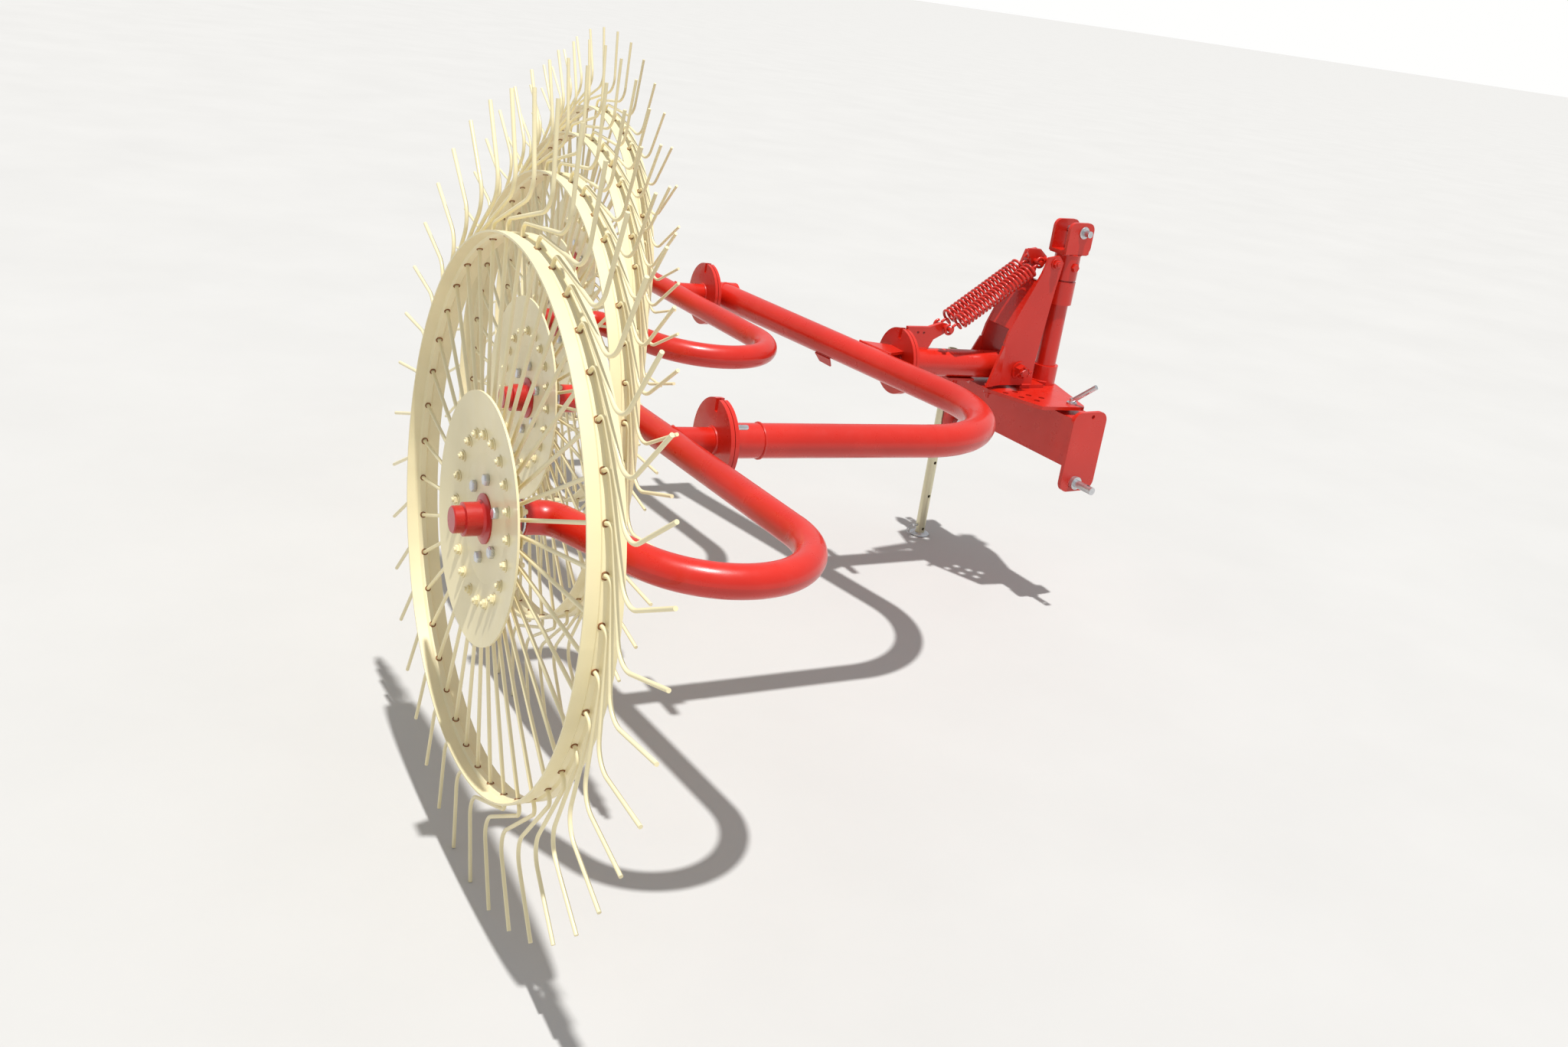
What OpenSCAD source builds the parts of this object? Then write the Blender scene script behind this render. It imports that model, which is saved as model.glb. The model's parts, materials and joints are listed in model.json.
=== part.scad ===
// Rotary hay rake for a three-point hitch. Four tined raking wheels turn
// freely on two bent arms, the arms teeter on a bent main pipe, and the main
// pipe teeters on a spring-balanced centre tube that swings about the mast.

/* [Raking wheels] */
// number of tines round one wheel
tine_count = 40; // [32:2:44]
// diameter of the tine wire
tine_wire_d = 7; // [6:0.1:8]
// wheel radius at which a tine turns along the rim
tine_elbow_r = 495; // [489:1:505]
// length of a tine from its first corner to its second
tine_sweep = 200.8; // [180:0.1:215]
// angle by which that length leaves the rim
tine_rise_deg = 2.9; // [1:0.1:6]
// length of a tine from its second corner to its tip
tine_end = 163; // [140:1:180]
// angle of the tip from the radius through the tine's own hole
tine_end_deg = 3.5; // [0:0.1:8]
// bend radius of the first corner
tine_bend_1 = 15; // [12:1:20]
// bend radius of the second corner
tine_bend_2 = 45; // [30:1:60]
// radius of the rim band on its groove
rim_r = 468; // [455:1:478]
// width of the rim band
rim_w = 60; // [45:1:75]
// thickness of the rim band
rim_t = 3.5; // [2.5:0.1:5]
// depth of the groove round the rim band
rim_groove = 4; // [2:0.5:6]
// outer radius of the centre disc
disc_r = 215; // [190:1:230]
// thickness of the centre disc
disc_t = 4; // [3:0.5:6]
// height of the disc's raised edge over its flat middle
disc_dish = 15; // [8:1:25]
// radius of the ring of clip bolts that hold the tine pairs
clip_ring_r = 143; // [130:1:160]
// radius of the ring of hub bolts
bolt_ring_r = 70; // [64:1:78]
// number of hub bolts
bolt_count = 6; // [4:1:8]

/* [Wheel spacing] */
// distance between neighbouring wheels along their axles
wheel_step_x = 289; // [272:1:302]
// distance between neighbouring wheels across their axles
wheel_step_y = 648; // [630:1:668]

/* [Hubs] */
// diameter of the wheel spindles
spindle_d = 30; // [25:1:35]
// diameter of the cap flange in the middle of the disc
cap_flange_d = 86; // [76:1:96]
// diameter of the cap body
cap_d = 58; // [50:1:64]
// diameter of the cap nose
nose_d = 47; // [40:1:49]

/* [Arms] */
// outer diameter of the arm pipe
arm_pipe_d = 60.3; // [54:0.1:64]
// wall thickness of the arm pipe
arm_wall = 4; // [3:0.5:5]
// straight length between the two bends behind a first wheel
arm_run = 174; // [160:1:190]
// turn of the bend at the hub
arm_hub_turn = 65; // [61:1:69]
// bend radius at the hub
arm_hub_bend = 45; // [40:1:60]
// turn of the wide bend
arm_wide_turn = 160.5; // [158:0.5:162]
// bend radius of the wide bend
arm_wide_bend = 182; // [172:1:190]
// bend radius at the second wheel
arm_last_bend = 60; // [50:1:70]
// distance from an arm's first hub to its pivot, across the axles
arm_pivot_y = 384; // [370:1:400]
// distance from an arm's first hub to its pivot plane, along the axles
arm_pivot_x = 590; // [580:1:605]

/* [Main pipe] */
// outer diameter of the main pipe
main_pipe_d = 76.1; // [70:0.1:80]
// wall thickness of the main pipe
main_wall = 4.5; // [3.5:0.5:6]
// turn of the wide bend at the near end
main_turn = 101.5; // [99.5:0.5:103.5]
// bend radius of the wide bend
main_wide_bend = 290; // [275:1:305]
// distance from the far pivot plane to where the main pipe meets its sleeve
main_far_run = 58; // [54:1:64]
// distance from the main pipe's pivot plane to the centre tube's rear end
centre_flange_x = 872; // [862:1:885]

/* [Pivots] */
// diameter of the pivot discs
pivot_disc_d = 184; // [168:1:196]
// thickness of the pivot discs
pivot_disc_t = 9; // [7:0.5:10]
// diameter of the shafts inside the pivots
pivot_shaft_d = 36; // [32:1:40]
// diameter of the tubes that end in pivot discs
stub_d = 57; // [54:0.5:59]
// gap between the two discs of a pivot
pivot_gap = 1.5; // [1:0.1:3]

/* [Centre tube] */
// outer diameter of the centre tube
centre_tube_d = 78; // [74:1:80]
// length of the centre tube from its pivot bolt to its rear disc
centre_tube_len = 382; // [370:1:400]
// height of the pivot bolt over the index plate
pivot_over_plate = 54; // [52:1:58]
// distance of the pivot bolt behind the mast
pivot_back = 140; // [134:1:146]
// diameter of the pivot bolt
pivot_bolt_d = 24; // [20:1:28]
// angle of the swing frame from straight back, as parked
swing_deg = 4; // [0:0.5:9]

/* [Mast and swing frame] */
// diameter of the mast post
mast_d = 60; // [56:1:62]
// height of the top of the mast post
mast_top = 985; // [960:1:1000]
// distance between the outer faces of the side plates
side_plates_w = 115; // [112:1:120]
// thickness of the side plates
side_plate_t = 8; // [6:0.5:9]
// distance of the top link pin ahead of the mast
top_pin_x = 10; // [6:1:14]
// height of the top link pin
top_pin_z = 1051; // [1044:1:1058]
// diameter of the top link pin
top_pin_d = 19; // [18:0.1:20]
// gap between the ears of the top clevis
clevis_gap = 52; // [48:1:56]
// thickness of the clevis ears
clevis_t = 10; // [8:0.5:12]

/* [Hitch] */
// height of the top face of the index plate
index_top = 600; // [598:0.5:602]
// thickness of the index plate
index_t = 10; // [8:0.5:12]
// length of the hitch beam between its end plates
beam_len = 524; // [500:1:540]
// height of the hitch beam
beam_h = 140; // [130:1:150]
// depth of the hitch beam
beam_depth = 100; // [92:1:108]
// wall thickness of the hitch beam
beam_wall = 8; // [6:0.5:10]
// distance of the beam's rear face behind the mast
beam_back = 105; // [100:1:110]
// thickness of the end plates
end_plate_t = 12; // [10:1:14]
// diameter of the lower hitch pins
lower_pin_d = 22.2; // [20:0.1:24]
// distance between the tips of the lower hitch pins
lower_pin_span = 700; // [690:1:720]
// height of the lower hitch pins
lower_pin_z = 390; // [384:1:396]

/* [Stand] */
// diameter of the stand leg
stand_d = 31; // [29:1:34]
// length of the stand leg
stand_len = 620; // [600:1:640]
// diameter of the stand foot
stand_foot_d = 64; // [58:1:70]

/* [Springs] */
// outer diameter of the balance springs
spring_d = 47; // [44:1:49]
// diameter of the spring wire
spring_wire_d = 7.8; // [7:0.1:8.4]
// number of coils
spring_coils = 21; // [18:1:23]
// distance between the two springs
spring_gap = 55; // [53:1:57]

/* [Hidden] */
red = [0.72, 0.05, 0.05];
cream = [0.86, 0.82, 0.63];
zinc = [0.75, 0.76, 0.76];
pipe_fn = 64;
wire_fn = 16;
plate_fn = 96;
running = 0.05;
clear = 0.3;
cut = 1;
// a bend is a little thicker than the straight lengths that run into it
pipe_extra = 0.2;
pipe_dip = 1;
wire_extra = 0.04;
wire_dip = 0.4;

// columns of a pipe's table: straight length, roll, turn and bend radius
RUN = 0;
ROLL = 1;
TURN = 2;
BEND = 3;

// tine: the wire lies behind the disc and reaches the rim's groove
tine_step = 360 / tine_count;
wire_r = tine_wire_d / 2;
disc_flat_r = 110;
disc_front = 25;
wire_gap = 1;
clip_z = disc_front - disc_t - wire_r - wire_gap;
tine_lean = atan(clip_z / (rim_r - clip_ring_r));
apex_z = rim_r * tan(tine_lean);
pair_half = atan(cos(tine_lean) * tan(tine_step / 2));
pair_slope = atan(tan(tine_lean) / cos(tine_step / 2));
loop_at = clip_ring_r / cos(tine_lean);
loop_r = loop_at * sin(pair_half);
wire_start = loop_at * cos(pair_half);
turn_1 = 90 - tine_rise_deg;
turn_2 = turn_1 - tine_end_deg;
set_1 = tine_bend_1 * tan(turn_1 / 2);
set_2 = tine_bend_2 * tan(turn_2 / 2);
tine_runs = [
    [tine_elbow_r / cos(tine_lean) - set_1 - wire_start, 0, -turn_1, tine_bend_1],
    [tine_sweep - set_1 - set_2, tine_lean, turn_2, tine_bend_2],
    [tine_end - set_2, 0, 0, 0]
];
tip_back = tine_sweep * cos(tine_rise_deg) + tine_end * sin(tine_end_deg);
tip_out = tine_elbow_r + tine_sweep * sin(tine_rise_deg) + tine_end * cos(tine_end_deg);
tip_r = norm([tip_back, tip_out]);
tine_lag = atan2(tip_back, tip_out);
tip_z = -(tine_elbow_r - rim_r) * tan(tine_lean);
// a wheel rests on two neighbouring tips
wheel_phase = tine_lag + tine_step / 2 - 90 + 360;
tip_back_lean = tine_lag - tine_end_deg;
hub_height = tip_r * cos(tine_step / 2) + wire_r * sin(tip_back_lean + tine_step / 2);

// lean of the linkage: the pivot bolt is lower than the hubs
pivot_height = index_top + pivot_over_plate;
tilt_lever = pivot_back_to_hub() - centre_y() * wheel_step_x / wheel_step_y;
float_deg = asin((hub_height - pivot_height) / tilt_lever);
roll_deg = asin(wheel_step_x / wheel_step_y * tan(float_deg));

function centre_y() = arm_pivot_y + wheel_step_y;
function pivot_back_to_hub() = arm_pivot_x + centre_flange_x + centre_tube_len;

// arm pipe, from the first hub to the second
spindle_len = 40;
arm_first_run = 24;
arm_heading = -arm_hub_turn + arm_wide_turn;
arm_last_turn = 180 - arm_heading;
arm_side = -arm_hub_bend * (1 - cos(arm_hub_turn)) - arm_run * sin(arm_hub_turn)
    + arm_wide_bend * (cos(arm_hub_turn) - cos(arm_heading));
arm_long = (wheel_step_y - arm_side - arm_last_bend * (cos(arm_heading) + 1)) / sin(arm_heading);
arm_reach = spindle_len + arm_first_run + arm_hub_bend * sin(arm_hub_turn)
    + arm_run * cos(arm_hub_turn) + arm_wide_bend * (sin(arm_hub_turn) + sin(arm_heading));
arm_last_x = arm_reach + arm_long * cos(arm_heading) - arm_last_bend * sin(arm_heading);
arm_runs = [
    [arm_first_run, 0, -arm_hub_turn, arm_hub_bend],
    [arm_run, 0, arm_wide_turn, arm_wide_bend],
    [arm_long, 0, arm_last_turn, arm_last_bend],
    [arm_last_x - wheel_step_x - spindle_len, 0, 0, 0]
];
arm_leg_x = arm_reach + (arm_pivot_y - arm_side) * cos(arm_heading) / sin(arm_heading);
arm_r = arm_pipe_d / 2;
shaft_reach = arm_pivot_x - arm_leg_x - arm_r - 8;

// main pipe, from the near pivot to the far one
main_r = main_pipe_d / 2;
sleeve_len = 92;
far_sleeve_len = 92;
disc_at = pivot_gap / 2 + pivot_disc_t;
pivots_y = 2 * wheel_step_y;
main_side = main_wide_bend * (1 - cos(main_turn));
main_long = (pivots_y - main_side) / sin(main_turn);
main_first = 2 * wheel_step_x + main_far_run - main_long * cos(main_turn) - main_wide_bend * sin(main_turn);
main_runs = [
    [main_first - disc_at - sleeve_len, 0, main_turn, main_wide_bend],
    [main_long, 0, 0, 0]
];
main_leg_x = main_first + main_wide_bend * sin(main_turn)
    + (wheel_step_y - main_side) * cos(main_turn) / sin(main_turn);

// the mast axis in the row's frame puts the object's box over the origin
function turn_x(t) = [[1, 0, 0], [0, cos(t), -sin(t)], [0, sin(t), cos(t)]];
function turn_y(t) = [[cos(t), 0, sin(t)], [0, 1, 0], [-sin(t), 0, cos(t)]];
function turn_z(t) = [[cos(t), -sin(t), 0], [sin(t), cos(t), 0], [0, 0, 1]];
main_turned = turn_z(-swing_deg) * turn_y(float_deg) * turn_x(roll_deg);
wheel_turned = main_turned * turn_z(-90) * turn_x(90);
pivot_at = turn_z(-swing_deg) * [-pivot_back, 0, pivot_height];
function hub_at(k) = pivot_at + main_turned * [k * wheel_step_x - pivot_back_to_hub(),
    k * wheel_step_y - centre_y(), 0];
tip_angles = [for (n = [0:tine_count - 1]) wheel_phase + n * tine_step];
function tip_at(k, t) = hub_at(k) + wheel_turned * [tip_r * cos(t - tine_lag), tip_r * sin(t - tine_lag), tip_z];
function tip_way(t) = wheel_turned * [cos(t - tine_end_deg), sin(t - tine_end_deg), 0];
function tip_low(k, i) = min([for (t = tip_angles) tip_at(k, t)[i] - wire_r * sqrt(1 - pow(tip_way(t)[i], 2))]);
function tip_high(k, i) = max([for (t = tip_angles) tip_at(k, t)[i] + wire_r * sqrt(1 - pow(tip_way(t)[i], 2))]);
ear_reach = 38;
socket_z = 912;
hitch_front = top_pin_x + ear_reach;
mast_x = -(tip_low(0, 0) + hitch_front) / 2;
mast_y = -(tip_low(0, 1) + tip_high(3, 1)) / 2;

// frames: the hitch, the swinging frame, the floating tube, the main pipe,
// an arm at its first hub, and a wheel with its cap side along +Z
module at_hitch() {
    translate([mast_x, mast_y, 0]) children();
}

module at_swing() {
    at_hitch() rotate([0, 0, -swing_deg]) children();
}

module at_float() {
    at_swing() translate([-pivot_back, 0, pivot_height]) rotate([0, float_deg, 0]) children();
}

module at_main() {
    at_float() rotate([roll_deg, 0, 0]) translate([-pivot_back_to_hub(), -centre_y(), 0]) children();
}

module at_arm(first) {
    at_main() translate([first * wheel_step_x, first * wheel_step_y, 0]) children();
}

module at_wheel(k) {
    at_arm(k) rotate([90, 0, -90]) children();
}

// round bar or tube along +X from the origin
module tube_x(len, r_out, r_in = 0, fn = pipe_fn) {
    rotate([0, 90, 0]) linear_extrude(len) ring(r_out, r_in, fn);
}

module ring(r_out, r_in, fn) {
    difference() {
        circle(r_out, $fn = fn);
        if (r_in > 0) circle(r_in, $fn = fn);
    }
}

// bend that starts at the origin along +X and turns left
module bend_left(turn, bend, r_out, r_in, fn) {
    translate([0, bend, 0]) rotate([0, 0, -90])
        rotate_extrude(angle = turn, $fn = fn * 2) translate([bend, 0]) ring(r_out, r_in, fn);
}

// pipe from a table of runs, starting along +X; lead lengthens its start
module pipe_run(runs, r_out, r_in = 0, fn = pipe_fn, lead = 0, i = 0) {
    if (i < len(runs)) {
        part = runs[i];
        turn = part[TURN];
        bend = part[BEND];
        extra = r_in > 0 ? pipe_extra : wire_extra;
        dip = r_in > 0 ? pipe_dip : wire_dip;
        start = i > 0 ? dip : lead;
        end = i < len(runs) - 1 ? dip : 0;
        bore = r_in > 0 ? r_in - extra : 0;
        translate([-start, 0, 0]) tube_x(start + part[RUN] + end, r_out, r_in, fn);
        translate([part[RUN], 0, 0]) rotate([part[ROLL], 0, 0]) {
            if (turn > 0) bend_left(turn, bend, r_out + extra, bore, fn);
            if (turn < 0) mirror([0, 1, 0]) bend_left(-turn, bend, r_out + extra, bore, fn);
            translate([bend * sin(abs(turn)), sign(turn) * bend * (1 - cos(turn)), 0])
                rotate([0, 0, turn]) pipe_run(runs, r_out, r_in, fn, lead, i + 1);
        }
    }
}

// upright plate in the XZ plane, centred on y = 0
module side_sheet(points, t) {
    translate([0, t / 2, 0]) rotate([90, 0, 0]) linear_extrude(t) polygon(points);
}

module pin_y(r, y0, y1, fn = pipe_fn) {
    translate([0, y0, 0]) rotate([-90, 0, 0]) cylinder(h = y1 - y0, r = r, $fn = fn);
}

// hitch
seat_t = 14;
beam_top = index_top - index_t - seat_t;
beam_end_y = beam_len / 2;
plate_low = lower_pin_z - 28;
plate_high = index_top - 3;
plate_front = 12;
plate_rear = -114;
plate_corner = 30;
lower_pin_x = -64;

module hitch_beam() {
    seat_len = 300;
    inset = 8;
    color(red) at_hitch() difference() {
        union() {
            translate([-beam_back, -beam_end_y, beam_top - beam_h]) cube([beam_depth, beam_len, beam_h]);
            translate([inset - beam_back, -seat_len / 2, beam_top - cut])
                cube([beam_depth - 2 * inset, seat_len, seat_t + cut]);
        }
        translate([-beam_back + beam_wall, -beam_end_y - cut, beam_top - beam_h + beam_wall])
            cube([beam_depth - 2 * beam_wall, beam_len + 2 * cut, beam_h - 2 * beam_wall]);
    }
}

module rounded_shape(x0, x1, z0, z1, corner) {
    translate([x0, z0 + corner]) square([x1 - x0, z1 - z0 - 2 * corner]);
    translate([x0 + corner, z0]) square([x1 - x0 - 2 * corner, z1 - z0]);
    for (x = [x0 + corner, x1 - corner]) for (z = [z0 + corner, z1 - corner])
        translate([x, z]) circle(corner, $fn = plate_fn);
}

module end_plates() {
    color(red) at_hitch() for (side = [-1, 1])
        translate([0, side * (beam_end_y + end_plate_t / 2) + end_plate_t / 2, 0]) rotate([90, 0, 0])
        linear_extrude(end_plate_t) difference() {
            rounded_shape(plate_rear, plate_front, plate_low, plate_high, plate_corner);
            translate([lower_pin_x, lower_pin_z]) circle(lower_pin_d / 2, $fn = pipe_fn);
            translate([-43, plate_high - 14]) circle(6, $fn = 32);
        }
}

module lower_pins() {
    collar_d = 38;
    collar_t = 12;
    inside = beam_end_y - 16;
    color(zinc) at_hitch() for (side = [-1, 1])
        translate([lower_pin_x, 0, lower_pin_z]) mirror([0, side < 0 ? 1 : 0, 0]) difference() {
            union() {
                pin_y(lower_pin_d / 2, inside, lower_pin_span / 2);
                pin_y(collar_d / 2, beam_end_y + end_plate_t, beam_end_y + end_plate_t + collar_t);
                pin_y(collar_d / 2, inside - 2, beam_end_y);
            }
            translate([0, lower_pin_span / 2 - 17, -20]) cylinder(h = 40, r = 5, $fn = 24);
        }
}

// columns of the index holes: radius and angle from straight back
index_holes = [[226, 21.5], [226, 33.8], [226, 45.2], [186, 24.3], [186, 37], [186, 48.4]];
index_half = [[36, 24], [-36, 222], [-48, 236], [-184, 212], [-242, 42]];
index_pin_at = [-65, -202];

module index_plate() {
    color(red) at_hitch() translate([0, 0, index_top - index_t]) linear_extrude(index_t) difference() {
        polygon(concat(index_half, [for (i = [len(index_half) - 1:-1:0]) [index_half[i][0], -index_half[i][1]]]));
        for (side = [-1, 1]) for (h = index_holes)
            translate([-h[0] * cos(h[1]), side * h[0] * sin(h[1])]) circle(9, $fn = 32);
        translate(index_pin_at) circle(8 + clear, $fn = 32);
    }
}

module index_pin() {
    handle = 88;
    color(zinc) at_hitch() translate([index_pin_at[0], index_pin_at[1], index_top]) {
        translate([0, 0, clear - index_t]) cylinder(h = index_t + 16, r = 8, $fn = 32);
        cylinder(h = 5, r = 15, $fn = 32);
        translate([0, 0, 9]) rotate([0, 90 - 42, -75]) cylinder(h = handle, r = 7, $fn = 32);
    }
}

module mast_post() {
    color(red) at_hitch() translate([0, 0, index_top]) difference() {
        cylinder(h = mast_top - index_top, r = mast_d / 2, $fn = plate_fn);
        translate([0, 0, -cut]) cylinder(h = mast_top - index_top + 2 * cut, r = mast_d / 2 - 6, $fn = plate_fn);
    }
}

module top_clevis() {
    foot_t = 11;
    ear_back = -44;
    ear_y = (clevis_gap + clevis_t) / 2;
    ear_top = top_pin_z + 27;
    foot_len = hitch_front - 4 - ear_back;
    wall = 7;
    color(red) at_hitch() union() {
        for (side = [-1, 1]) translate([0, side * ear_y + clevis_t / 2, 0]) rotate([90, 0, 0])
            linear_extrude(clevis_t) difference() {
                union() {
                    rounded_shape(ear_back, hitch_front, mast_top + 3, ear_top, 22);
                    translate([ear_back, mast_top + 3]) square([foot_len, 30]);
                }
                translate([top_pin_x, top_pin_z]) circle(top_pin_d / 2 + clear, $fn = pipe_fn);
            }
        translate([ear_back, -ear_y, mast_top]) cube([foot_len, 2 * ear_y, foot_t]);
        translate([0, 0, socket_z]) linear_extrude(mast_top + 1 - socket_z)
            ring(mast_d / 2 + wall, mast_d / 2 + running, plate_fn);
    }
}

module top_link_pin() {
    half = clevis_gap / 2 + clevis_t;
    color(zinc) at_hitch() translate([top_pin_x, 0, top_pin_z]) difference() {
        union() {
            pin_y(top_pin_d / 2, -half - 26, half + 12);
            pin_y(top_pin_d / 2 + 6, half + clear, half + 6);
        }
        translate([0, -half - 16, -20]) cylinder(h = 40, r = 4, $fn = 24);
    }
}

stand_at = [-106, beam_end_y + end_plate_t + 22];
socket_low = 455;
socket_high = 560;

module stand_socket() {
    color(red) at_hitch() difference() {
        union() {
            translate([stand_at[0], stand_at[1], socket_low])
                cylinder(h = socket_high - socket_low, r = 21.5, $fn = pipe_fn);
            translate([stand_at[0] - 7, beam_end_y + end_plate_t, socket_low + 10])
                cube([22, 12, socket_high - socket_low - 20]);
        }
        translate([stand_at[0], stand_at[1], socket_low - cut])
            cylinder(h = socket_high - socket_low + 2 * cut, r = stand_d / 2 + running, $fn = pipe_fn);
    }
}

stand_foot_t = 11;

module stand_leg() {
    hole_step = 113;
    color(zinc) at_hitch() translate([stand_at[0], stand_at[1], 0]) difference() {
        translate([0, 0, stand_foot_t]) cylinder(h = stand_len - stand_foot_t, r = stand_d / 2, $fn = pipe_fn);
        cylinder(h = stand_len + cut, r = stand_d / 2 - 4, $fn = pipe_fn);
        for (n = [0:3]) translate([0, 0, stand_foot_t + 12 + n * hole_step]) pin_y(5, -30, 30);
    }
}

module stand_foot() {
    r = stand_foot_d / 2;
    profile = [[0, 0], [r - 3, 0], [r, 3], [r - 1, 6], [stand_d / 2 + 5, stand_foot_t], [0, stand_foot_t]];
    color(zinc) at_hitch() translate([stand_at[0], stand_at[1], 0])
        rotate_extrude($fn = plate_fn) polygon(profile);
}

// swing frame
side_in = side_plates_w / 2 - side_plate_t;
sleeve_out = mast_d / 2 + 8;
base_t = 10;
base_low = index_top + clear;
base_top = base_low + base_t;

module mast_sleeves() {
    color(red) at_swing() for (span = [[base_low, 657], [840, socket_z - 5]])
        translate([0, 0, span[0]]) linear_extrude(span[1] - span[0])
            ring(sleeve_out, mast_d / 2 + running, plate_fn);
}

// columns of an outline: distance behind the mast as a share of pivot_back,
// height over the index plate as a share of the mast's height
side_rows = [[0.63, 0.2], [0.49, 0.745], [0.41, 0.955], [0.54, 1.005], [0.79, 0.99], [0.89, 0.87],
    [1.26, 0.58], [1.44, 0.423], [1.49, 0.34]];
web_rows = [[0.97, 0.81], [1.26, 0.58], [1.4, 0.45], [1.34, 0.44], [1.2, 0.572], [0.92, 0.8]];
lug_low = 846;
lug_high = 904;

function swing_points(rows) = [for (r = rows) [-r[0] * pivot_back, index_top + r[1] * (mast_top - index_top)]];

module side_plates() {
    outline = concat([[-0.61 * pivot_back, base_top]], swing_points(side_rows), [[-1.45 * pivot_back, base_top]]);
    fold_x = 1.43 * pivot_back;
    wing_top = pivot_height + 72;
    wing = [[0, base_top], [-6, wing_top - 6], [-12, wing_top], [-60, base_top]];
    plate_y = (side_plates_w - side_plate_t) / 2;
    color(red) at_swing() for (side = [-1, 1]) difference() {
        union() {
            translate([0, side * plate_y, 0]) side_sheet(outline, side_plate_t);
            translate([-fold_x, side * plate_y, 0]) rotate([0, 0, side * -18]) side_sheet(wing, side_plate_t);
        }
        translate([-pivot_back, side * side_in, pivot_height]) pin_y(pivot_bolt_d / 2, -20, 20);
    }
}

module swing_web() {
    web_w = 2 * side_in;
    lug_front = -sleeve_out - clear;
    lug_x = -96;
    lug = [[lug_x, lug_low], [lug_x, lug_high], [lug_front, lug_high], [lug_front, lug_low]];
    base_rear = -125;
    color(red) at_swing() union() {
        side_sheet(swing_points(web_rows), web_w);
        side_sheet(lug, 24);
        translate([lug_x, -web_w / 2, lug_low]) cube([12, web_w, lug_high - lug_low]);
        translate([base_rear, -side_plates_w / 2, base_low]) cube([lug_front - base_rear, side_plates_w, base_t]);
    }
}

module pivot_bolt() {
    head_t = 15;
    washer_t = 5;
    half = side_plates_w / 2;
    color(red) at_swing() translate([-pivot_back, 0, pivot_height]) union() {
        pin_y(pivot_bolt_d / 2, -half - washer_t - 26, half + washer_t + head_t);
        pin_y(26, -half - washer_t, -half);
        pin_y(26, half, half + washer_t);
        translate([0, -half - washer_t, 0]) rotate([90, 30, 0]) cylinder(h = 20, r = 20, $fn = 6);
        translate([0, half + washer_t + head_t, 0]) rotate([90, 30, 0]) cylinder(h = head_t, r = 20, $fn = 6);
    }
}

// the springs hang between the hanger rod and the anchor's cross rod
hanger_at = [-118, 960];
anchor_at = [-388, 764];
hook_r = 13;
hook_len = 34;

module spring_hanger() {
    x = hanger_at[0];
    z = hanger_at[1];
    bracket = [[x + 40, z - 8], [x + 40, z + 14], [x + 14, z + 34], [x - 26, z + 34], [x - 30, z + 24],
        [x - 14, z + 2], [x - 8, z - 10], [x + 20, z - 12]];
    color(red) at_swing() union() {
        side_sheet(bracket, 8);
        translate([x, 0, z]) pin_y(7, -spring_gap / 2 - 12, spring_gap / 2 + 12, 32);
        translate([x + 34, 0, z + 4]) pin_y(9, -side_in, side_in, 32);
    }
}

module centre_tube() {
    boss_r = 30;
    length = centre_tube_len - disc_at;
    color(red) at_float() difference() {
        union() {
            translate([-length, 0, 0]) tube_x(length, centre_tube_d / 2);
            pin_y(boss_r, -side_in + clear, side_in - clear);
            translate([-centre_tube_len + pivot_gap / 2, 0, 0]) pivot_disc();
        }
        pin_y(pivot_bolt_d / 2 + running, -side_in, side_in);
        translate([-centre_tube_len - cut, 0, 0]) tube_x(130 + cut, pivot_shaft_d / 2 + running);
        translate([-length + 150, 0, 0]) tube_x(length - 150 - 50, centre_tube_d / 2 - 5);
    }
}

// pivot disc from the origin along +X with a slot and a notch at its edge
module pivot_disc() {
    slot_w = 13;
    difference() {
        tube_x(pivot_disc_t, pivot_disc_d / 2, 0, plate_fn);
        translate([-cut, -slot_w / 2, pivot_disc_d / 2 - 28]) cube([pivot_disc_t + 2 * cut, slot_w, 40]);
    }
}

// anchor in the floating frame; its cross rod carries the springs' lower ends
module spring_anchor() {
    rod = turn_y(-float_deg) * [anchor_at[0] + pivot_back, 0, anchor_at[1] - pivot_height];
    seat = centre_tube_d / 2 + clear;
    tab_rear = disc_at - centre_tube_len + clear;
    tab = [[tab_rear, seat], [tab_rear, rod[2] - 3], [rod[0] - 50, rod[2] - 1], [rod[0] - 12, rod[2] + 12],
        [rod[0] + 12, rod[2] + 9], [rod[0] + 12, rod[2] - 12], [rod[0] - 30, rod[2] - 36], [rod[0] - 42, seat]];
    color(red) at_float() difference() {
        union() {
            side_sheet(tab, 12);
            translate([rod[0], 0, rod[2]]) pin_y(7, -spring_gap / 2 - 12, spring_gap / 2 + 12, 32);
        }
        for (n = [0:1]) translate([rod[0] - 86 + n * 20, 0, rod[2] - 18]) pin_y(4, -20, 20, 24);
    }
}

// coil of tilted half rings that climb along +Z from [r, 0, 0]
module coil(length, coils, r, wire) {
    climb = length / (2 * coils);
    tilt = asin(climb / (2 * r));
    for (n = [0:2 * coils - 1]) {
        odd = n % 2;
        translate([0, 0, (n + 0.5) * climb]) rotate([0, odd == 1 ? -tilt : tilt, 0]) rotate([0, 0, odd * 180 - odd])
            rotate_extrude(angle = 180 + 2 * odd, $fn = 48) translate([r, 0])
            circle(odd == 1 ? wire : wire + wire_extra, $fn = wire_fn);
    }
}

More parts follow.
